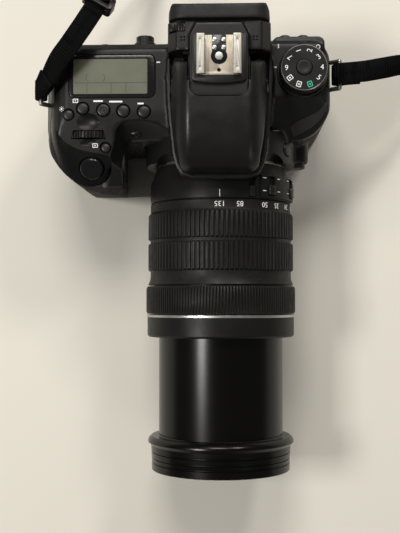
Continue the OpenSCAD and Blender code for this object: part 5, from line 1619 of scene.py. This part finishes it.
@dataclass
class RearControls:
    """The eyepiece, the monitor and the controls of the back."""

    def build(self) -> None:
        """Makes every piece of the back."""
        self.eyecup()
        self.monitor()
        self.dial()
        for node, x, z, r, out in (
            ("menu_button", 31.7, 66.5, 2.6, 5.1), ("info_button", 40.4, 66.5, 2.6, 5.1),
            ("ae_lock_button", -56.0, 66.5, 2.6, 1.4), ("playback_button", -37.0, 46.0, 2.8, 1.2),
        ):
            crown = [(r, out - 0.6), (r - 0.15, out - 0.25), (r - 0.6, out), (r * 0.5, out + 0.12),
                     (0, out + 0.15)]
            stem = [(0, -5.3), (r, -5.3)]
            cap = turned(f"{node}_cap", [*stem, *crown], Vector((x, BODY.back, z)), BACK, 48)
            fit(cap, node, "control", CONTROL, node)
        live = [(0, -5.3), (5.4, -5.3), (5.4, 1.4), (5.1, 1.8), (4.4, 1.9), (4.4, 4.7), (4.0, 5.1), (0, 5.2)]
        cap = turned("live_view_cap", live, Vector((-36.5, BODY.back, 66.2)), BACK, 64)
        fit(cap, "live_view_button", "control", CONTROL, "live_view_button")
        self.dioptre()

    def dioptre(self) -> None:
        """Makes the ridged wheel beside the eyepiece."""
        radius, front, width = 4.6, 25.7, 3.8
        rows = [(0, 0, 0), (0.93, 0, 0), (1, 0.1, 0.4), (1, 0.85, 0.4), (0.92, 1, 0), (0.4, 1, 0),
                (0, 0.94, 0)]
        section = [(radius * share, front + rise * width, gap, 0) for share, rise, gap in rows]
        knob = toothed("dioptre_wheel", section, 26, 6, 0.6, lambda a, b, h: Vector((a - 18.5, h, 91.6 + b)))
        fit(knob, "dioptre_knob", "control", DARK_CONTROL, "dioptre_knob")

    def eyecup(self) -> None:
        """Makes the rubber eyecup and dresses the eyepiece."""
        cup = prism("eyecup_rubber", round_rect((-23.5, 23.5), (69.5, 98.2), 8), Plane.XZ, 31, 41.4)
        lean = [(30, 69.5), (39.5, 69.5), (41.4, 72), (41.4, 86), (37.4, 98.2), (30, 98.2)]
        cut(cup, prism("cup_lean", lean, Plane.YZ, -40, 40), join=Join.COMMON)
        corners = round_rect((-23.5, 23.5), (0, 41.4), 8)
        cut(cup, prism("cup_corners", corners, Plane.XY, 40, 120), join=Join.COMMON)
        hollow = prism("eye_room", round_rect((-15.5, 15.5), (74, 94), 5), Plane.XZ, 20, 60)
        flare = prism("eye_flare", round_rect((-19.5, 19.5), (72.2, 96), 6.5), Plane.XZ, 37.5, 60)
        cut(cup, hollow, flare)
        knead(cup, 0.6, 4)
        cut(cup, block("eyecup_seat", (-60, 60), (0, 31.02), (0, 200)))
        fit(cup, "camera_body", "rubber", RUBBER, "eyecup")

    def monitor(self) -> None:
        """Makes the swinging monitor with its screen and hinge."""
        frame = prism("monitor_frame", round_rect((-29, 46.4), (7, 57), 2.2), Plane.XZ, 20, 28)
        round_edges(frame, 0.8, 3, 50)
        cut(frame, prism("screen_seat", round_rect((-23.5, 40.9), (10.6, 53.6), 0.8), Plane.XZ, 27.4, 40))
        fit(frame, "monitor", "shell", SHELL, "monitor")
        glass = prism("monitor_screen", round_rect((-23.4, 40.8), (10.7, 53.5), 0.7), Plane.XZ, 26.9, 27.85)
        fit(glass, "monitor", "gloss", GLOSS)
        barrel = turned("monitor_barrel", [(0, 14), (2.6, 14), (3, 14.4), (3, 49.6), (2.6, 50), (0, 50)],
                        Vector((49.9, 24.5, 0)), UP, 40)
        tongue = block("hinge_tongue", (46.0, 49.9), (22.3, 26.7), (14.2, 49.8))
        fit(merge("monitor_barrel", barrel, tongue), "monitor", "control", DARK_CONTROL, "monitor_hinge")

    def dial(self) -> None:
        """Makes the rear wheel and its set button."""
        hub = Vector((-57, BODY.back, 27))
        section = [
            (5.4, -3.6, 0, 0), (14.0, -3.6, 0, 0), (14.0, 0.6, 0, 0), (13.6, 1.2, 0, 0), (12.6, 1.6, 0, 0.35),
            (9.6, 1.5, 0, 0.35), (8.9, 1.0, 0, 0), (5.4, 1.0, 0, 0), (5.4, -3.6, 0, 0),
        ]
        wheel = toothed("rear_wheel", section, 48, 8, 0.5, lambda a, b, h: hub + Vector((a, h, b)))
        fit(wheel, "rear_dial", "control", DARK_CONTROL, "rear_dial")
        crown = [(5.0, 1.5), (4.8, 2.0), (4.2, 2.2), (2.5, 2.05), (0, 2.0)]
        cap = turned("set_cap", [(0, -5.3), (5.0, -5.3), *crown], hub, BACK, 48)
        fit(cap, "set_button", "control", CONTROL, "set_button")


@dataclass
class Doors:
    """The battery, card and terminal doors."""

    def build(self) -> None:
        """Makes each door with its barrel and pins."""
        card = block("card_lid", (-85.5, -81.9), (-14, 6.5), (14, 53))
        round_edges(card, 0.5, 2)
        for i in range(5):
            cut(card, block("ridge", (-90, -85.2), (-13 + i * 0.9, -12.55 + i * 0.9), (24, 43)))
        self.finish(card, "card_door", Vector((-84, 6.5, 14)), UP, 39)
        port = block("terminal_lid", (49.9, 53.5), (0.5, 10), (13, 55))
        round_edges(port, 0.5, 2)
        cut(port, block("nail_notch", (53.1, 60), (0, 1.6), (30, 38)))
        self.finish(port, "terminal_cover", Vector((52, 10, 13)), UP, 42, RUBBER)
        power = block("battery_lid", (-80, -56.5), (-26, 11), (0.4, 4))
        round_edges(power, 0.4, 2)
        for i in range(4):
            cut(power, block("ridge", (-78.5 + i * 0.9, -78.1 + i * 0.9), (-16, 0), (-2, 0.7)))
        self.finish(power, "battery_door", Vector((-56.5, -26, 1.9)), BACK, 37)

    def finish(self, lid, node: str, start: Vector, way: Vector, length: float,
               finish: Finish = SHELL) -> None:
        """Adds the barrel and its pins to a lid and ties it to its node."""
        barrel = rod("barrel", 1.48, start, way * length, 24)
        pin = rod("pin", 0.68, start - way * 1.7, way * (length + 3.4), 16)
        slot = "rubber" if finish is RUBBER else "shell"
        fit(merge(lid.name, lid, barrel, pin), node, slot, finish, node)


@dataclass
class MountArea:
    """The lens release button, the mount and what lies inside."""

    nodes: dict[str, Solid]

    def build(self) -> None:
        """Makes the release button and finishes the frame's own pieces."""
        r = 4.6
        profile = [(0, -3.5), (r, -3.5), (r, 1.9), (r - 0.2, 2.3), (r - 0.8, 2.55), (r * 0.5, 2.3), (0, 2.2)]
        button = turned("lens_release_cap", profile, Vector((38.5, -28.5, 40)), -BACK, 48)
        fit(button, "lens_release_button", "control", CONTROL, "lens_release_button")
        for name, finish in (
            ("body_mount_ring", STEEL), ("lens_mount", STEEL), ("mirror_box", MATT),
            ("reflex_mirror", MIRROR), ("pentaprism", CLEAR), ("image_sensor", CHIP), ("shutter_unit", MATT),
            ("battery", GLOSS), ("cover_screws", STEEL), ("strap_lugs", WIRE), ("rear_element", GLASS),
            ("eyepiece_lens", CLEAR),
        ):
            dress(self.nodes[name], finish)


@dataclass
class ZoomLens:
    """The zoom lens with its rings, switches and the drawn-out inner barrel."""

    band: float = 35.6
    pad: float = 37.0

    def at(self, angle: float, radius: float, u: float) -> Vector:
        """Returns the point at an angle from the top towards the dial side, a radius and a distance ahead."""
        turn = math.radians(angle)
        return LENS_CENTRE + Vector((math.sin(turn) * radius, -u, math.cos(turn) * radius))

    def spun(self, name: str, profile: Sequence[Flat], steps: int = 128) -> Solid:
        """Returns a solid turned about the lens axis from radius and distance ahead."""
        return turned(name, profile, LENS_CENTRE, -BACK, steps)

    def ribbed(self, name: str, profile: Sequence[tuple[float, float, float]], ribs: int) -> Solid:
        """Returns a ring whose ribs stand up where the profile gives them a depth."""
        shape = (0.0, 0.15, 0.95, 1.0, 1.0, 1.0, 0.95, 0.15)

        def place(around: float, step: float) -> Vector:
            column = round(around * ribs * len(shape)) % (ribs * len(shape))
            radius, u, depth = profile[round(step * (len(profile) - 1))]
            return self.at(360 * column / (ribs * len(shape)),
                           radius - depth * (1 - shape[column % len(shape)]), u)

        return loft(name, ribs * len(shape), len(profile) - 1, place)

    def build(self) -> None:
        """Makes every piece of the lens."""
        self.barrel()
        self.rings()
        self.front()
        self.switches()
        self.scale()

    def barrel(self) -> None:
        """Makes the fixed barrel with its collar and switch panel."""
        profile = [
            (18, 3), (32.05, 3), (32.6, 2.4), (32.6, -1.4), (32.8, -1.6), (33.0, -1.4), (33.2, 0.8),
            (35.2, 5.8), (35.6, 6.6), (35.6, 15.9), (35.2, 16.3), (33.6, 16.3),
            (33.6, 72.3), (36.9, 72.3), (37.2, 72.6), (37.2, 82.4), (36.4, 83.3), (31.7, 83.3), (31.7, 10),
            (18, 10),
        ]
        barrel = self.spun("lens_body", profile, 160)
        pad = self.panel(self.pad)
        cut(barrel, pad, join=Join.ADD)
        slots = ((43, 5.0, 5.2, 14.6, 35.5), (72, 5.0, 5.2, 14.6, 35.5), (26, 3.4, 6.0, 15.6, 34.1))
        for angle, width, low, high, bottom in slots:
            cut(barrel, self.chunk("slot", angle, width, low, high, bottom, 42))
        fit(barrel, "camera_body", "lens_black", BARREL, "lens_barrel", angle=28)
        line = [(36.6, 72.25), (37.3, 72.25), (37.42, 72.4), (37.42, 73.3), (37.3, 73.45), (36.6, 73.45)]
        fit(self.spun("silver_ring", line, 160), "camera_body", "bright", SILVER)

    def panel(self, radius: float) -> Solid:
        """Returns the raised panel of the switches."""
        def upper(a: float, b: float) -> Vector:
            edge = min(1.0, 8 * a, 8 * (1 - a), 6 * b, 6 * (1 - b))
            return self.at(33 + 55 * a, radius - 0.5 * (1 - edge) ** 2, 4.6 + 11.0 * b)

        def lower(a: float, b: float) -> Vector:
            return self.at(33 + 55 * a, self.band - 2, 4.6 + 11.0 * b)

        return strip("switch_panel", upper, lower, 40)

    def chunk(self, name: str, angle: float, width: float, low: float, high: float, bottom: float,
              top: float):
        """Returns a block that stands on the barrel at an angle."""
        piece = block(name, (-width / 2, width / 2), (-high, -low), (bottom, top))
        turn = math.radians(angle)
        across = Vector((math.cos(turn), 0, -math.sin(turn)))
        out = Vector((math.sin(turn), 0, math.cos(turn)))
        return moved(piece, lambda p: LENS_CENTRE + across * p.x + BACK * p.y + out * p.z)

    def rings(self) -> None:
        """Makes the zoom and focus rings."""
        zoom = [
            (33.9, 16.6, 0), (35.2, 16.6, 0), (35.6, 17.0, 0), (35.6, 21.0, 0), (35.7, 21.3, 0),
            (36.5, 22.2, 0.1), (36.8, 22.9, 0.95), (36.8, 34.3, 0.95), (36.3, 34.7, 0.3), (35.75, 34.9, 0),
            (35.75, 36.5, 0), (36.3, 36.7, 0.3), (36.8, 37.1, 0.95), (36.8, 49.8, 0.95), (36.2, 50.4, 0.2),
            (35.65, 50.6, 0), (35.65, 51.5, 0), (35.75, 54.5, 0), (36.8, 57.2, 0), (36.6, 57.5, 0),
            (33.9, 57.5, 0), (33.9, 16.6, 0),
        ]
        fit(self.ribbed("zoom_grip", zoom, 98), "zoom_ring", "rubber", RIBS, "zoom_ring", angle=40)
        focus = [
            (33.9, 58, 0), (37.0, 58, 0), (37.4, 58.3, 0), (37.5, 58.7, 0.2), (37.8, 59.1, 0.8),
            (37.8, 70.8, 0.8), (37.5, 71.2, 0.2), (37.3, 71.8, 0), (33.9, 71.8, 0), (33.9, 58, 0),
        ]
        fit(self.ribbed("focus_grip", focus, 155), "focus_ring", "rubber", RIBS, "focus_ring", angle=40)

    def front(self) -> None:
        """Makes the inner barrel, its baffles and the front lens."""
        profile = [
            (29.6, 61), (31.3, 61), (31.3, 132.6), (31.6, 133), (35.0, 133), (36.4, 134.2), (36.8, 135.2),
            (36.8, 136.0), (35.6, 137.2), (35.3, 137.6), (35.2, 140.0), (34.6, 140.3), (34.6, 140.8),
            (35.1, 141.1), (35.0, 143.0), (34.4, 143.3), (34.4, 143.9), (34.9, 144.2), (34.8, 145.4),
            (34.3, 145.7), (34.3, 146.2), (34.9, 146.5), (34.9, 149.7), (34.6, 150), (33.9, 150),
            (33.5, 149.6),
        ]
        turns = [(33.5 - (0.35 if i % 2 else 0), 149.4 - i * 0.375) for i in range(12)]
        profile += turns + [(33.5, 145), (31.2, 144.2), (31.2, 143.4), (30.4, 142.8), (30.4, 142.0),
                            (29.6, 141.0)]
        fit(self.spun("drawn_barrel", profile, 160), "inner_barrel", "lens_black", SATIN, "inner_barrel",
            angle=28)
        lens = [(0, 135), (29.3, 135), (29.3, 139.6), (27, 140.9), (22, 142.4), (15, 143.6), (8, 144.2),
                (0, 144.4)]
        fit(self.spun("front_lens", lens, 96), "inner_barrel", "glass", GLASS, "front_element")

    def switches(self) -> None:
        """Makes the two switches and the zoom lock."""
        for node, angle in (("af_switch", 43), ("stabilizer_switch", 72)):
            knob = self.chunk(f"{node}_knob", angle, 4.2, 9.5, 14.1, 35.75, 38.0)
            round_edges(knob, 0.35, 2)
            for i in range(3):
                cut(knob, self.chunk("groove", angle, 6, 10.7 + i * 0.85, 11.1 + i * 0.85, 37.7, 40))
            fit(knob, node, "control", CONTROL, node)
        lock = self.chunk("zoom_lock_knob", 26, 2.8, 10.3, 15.3, 34.35, 36.1)
        round_edges(lock, 0.3, 2)
        for i in range(3):
            cut(lock, self.chunk("groove", 26, 6, 11.6 + i * 0.85, 12.0 + i * 0.85, 35.85, 40))
        fit(lock, "zoom_lock", "control", CONTROL, "zoom_lock")

    def scale(self) -> None:
        """Prints the focal lengths, the index and ticks beside the switches."""
        marks = []
        for number, angle in ((135, 0), (85, 15.7), (50, 37.5), (35, 50.7), (24, 66), (18, 82)):
            text = lettering("focal_length", str(number), 2.6)
            marks.append(moved(text, lambda p, a=angle: self.at(
                a - math.degrees(p.x / self.band), self.band + 0.04 + p.z, 18.9 + p.y)))
        fit(merge("focal_numbers", *marks), "zoom_ring", "bright", WHITE)
        ticks = [self.chunk("index", 0, 0.35, 12.2, 15.7, self.band - 0.1, self.band + 0.06)]
        for angle in (35.6, 50.6, 64.6, 79.6):
            for low in (6.0, 12.2):
                ticks.append(self.chunk("tick", angle, 2.0, low, low + 0.35, self.pad - 0.15,
                                        self.pad + 0.06))
        fit(merge("lens_ticks", *ticks), "camera_body", "bright", WHITE)


@dataclass
class DeckMarks:
    """Plain printed marks of the deck and the bare plate on the dial side's shoulder."""

    bars: tuple[tuple[float, float, float], ...] = (
        (-58.2, -2.7, 4.6), (-49.7, -3.0, 6.4), (-37.8, -4.0, 3.0),
    )
    inner: tuple[Flat, ...] = ((51.3, -2.6), (47.5, -7.0), (42.0, -9.5), (36.4, -12.0), (34.2, -14.0))
    outer: tuple[Flat, ...] = ((51.4, -6.4), (48.0, -11.2), (43.4, -14.6), (38.3, -17.0), (36.0, -18.2))

    def build(self) -> None:
        """Prints the marks and lays the plate."""
        flat = [prism("bar", round_rect((x - w / 2, x + w / 2), (y - 0.4, y + 0.4), 0.3), *INK_LAYER)
                for x, y, w in self.bars]
        flat += [self.shifted(self.frame(), -69.1, -2.5), self.shifted(self.frame(), -60.0, -23.6)]
        flat += [self.shifted(ray, -76.0, -6.2) for ray in self.burst()]
        flat.append(prism("finder_mark", round_rect((-30.2, -28.4), (15.5, 16.1), 0.2), *INK_LAYER))
        grip = [moved(mark, lambda p: Vector((p.x, p.y, p.z + BODY.deck_at(p.x, p.y)))) for mark in flat]
        side = [prism("on_bar", round_rect((27.9, 28.5), (22.8, 24.8), 0.2), *INK_LAYER)]
        ring = prism("off_ring", arc((47.2, 23.4), 1.05, 0, 345, 23), *INK_LAYER)
        side.append(cut(ring, prism("off_room", arc((47.2, 23.4), 0.7, 0, 345, 23), Plane.XY, -1, 1)))
        side.append(prism("dial_index", round_rect((25.6, 27.4), (13.3, 13.9), 0.2), *INK_LAYER))
        side = [moved(mark, lambda p: Vector((p.x, p.y, p.z + BODY.side_at(p.x, p.y)))) for mark in side]
        fit(merge("deck_marks", *grip, *side), "camera_body", "bright", WHITE)
        fit(ball("assist_lamp", Vector((-40.8, -16.7, 67.2)), (3.2, 2.0, 1.5)), "camera_body", "gloss", PLATE)
        plate = strip("shoulder_plate", lambda a, b: self.shoulder(a, b, 0.3),
                      lambda a, b: self.shoulder(a, b, -1.0), 40)
        round_edges(plate, 0.25, 2)
        fit(plate, "camera_body", "gloss", BADGE)

    def shoulder(self, along: float, across: float, rise: float) -> Vector:
        """Returns a point of the bare plate."""
        first = curve_through([(a, b, 0.0) for a, b in self.inner], along)
        second = curve_through([(a, b, 0.0) for a, b in self.outer], along)
        point = first.lerp(second, across)
        return Vector((point.x, point.y, BODY.side_at(point.x, point.y) + rise))

    def frame(self) -> Solid:
        """Returns a framed square with a dot in its middle."""
        return framed_dot("framed_dot", (1.3, 1.0), 0.3, 0.32, INK_LAYER)

    def burst(self) -> list[Solid]:
        """Returns a dot with rays."""
        rays = [prism("dot", arc((0, 0), 0.5, 0, 330, 11), *INK_LAYER)]
        for i in range(8):
            turn = math.tau * i / 8
            out = Vector((math.cos(turn), math.sin(turn)))
            side = Vector((-math.sin(turn), math.cos(turn))) * 0.12
            corners = [out * 0.8 - side, out * 1.3 - side, out * 1.3 + side, out * 0.8 + side]
            rays.append(prism("ray", [(c.x, c.y) for c in corners], *INK_LAYER))
        return rays

    def shifted(self, mark: Solid, x: float, y: float) -> Solid:
        """Returns the mark, moved to a place on the deck."""
        return moved(mark, lambda p: p + Vector((x, y, 0)))


def main() -> None:
    """Builds the camera's pieces in order."""
    logging.basicConfig(level=logging.INFO, format="%(name)s: %(message)s")
    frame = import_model()
    Studio().build()
    NeckStrap().build()
    TopShell().build()
    SHUTTER_PLATE.build()
    MainDial().build()
    for button in (*TOP_BUTTONS, FLASH_BUTTON):
        button.build()
    LowerShells().build()
    GripRubber().build()
    FlashHead().build()
    HotShoe().build()
    StatusDisplay().build()
    DeckMarks().build()
    ModeDial().build()
    RearControls().build()
    Doors().build()
    MountArea(frame["nodes"]).build()
    ZoomLens().build()


if __name__ == "__main__":
    main()
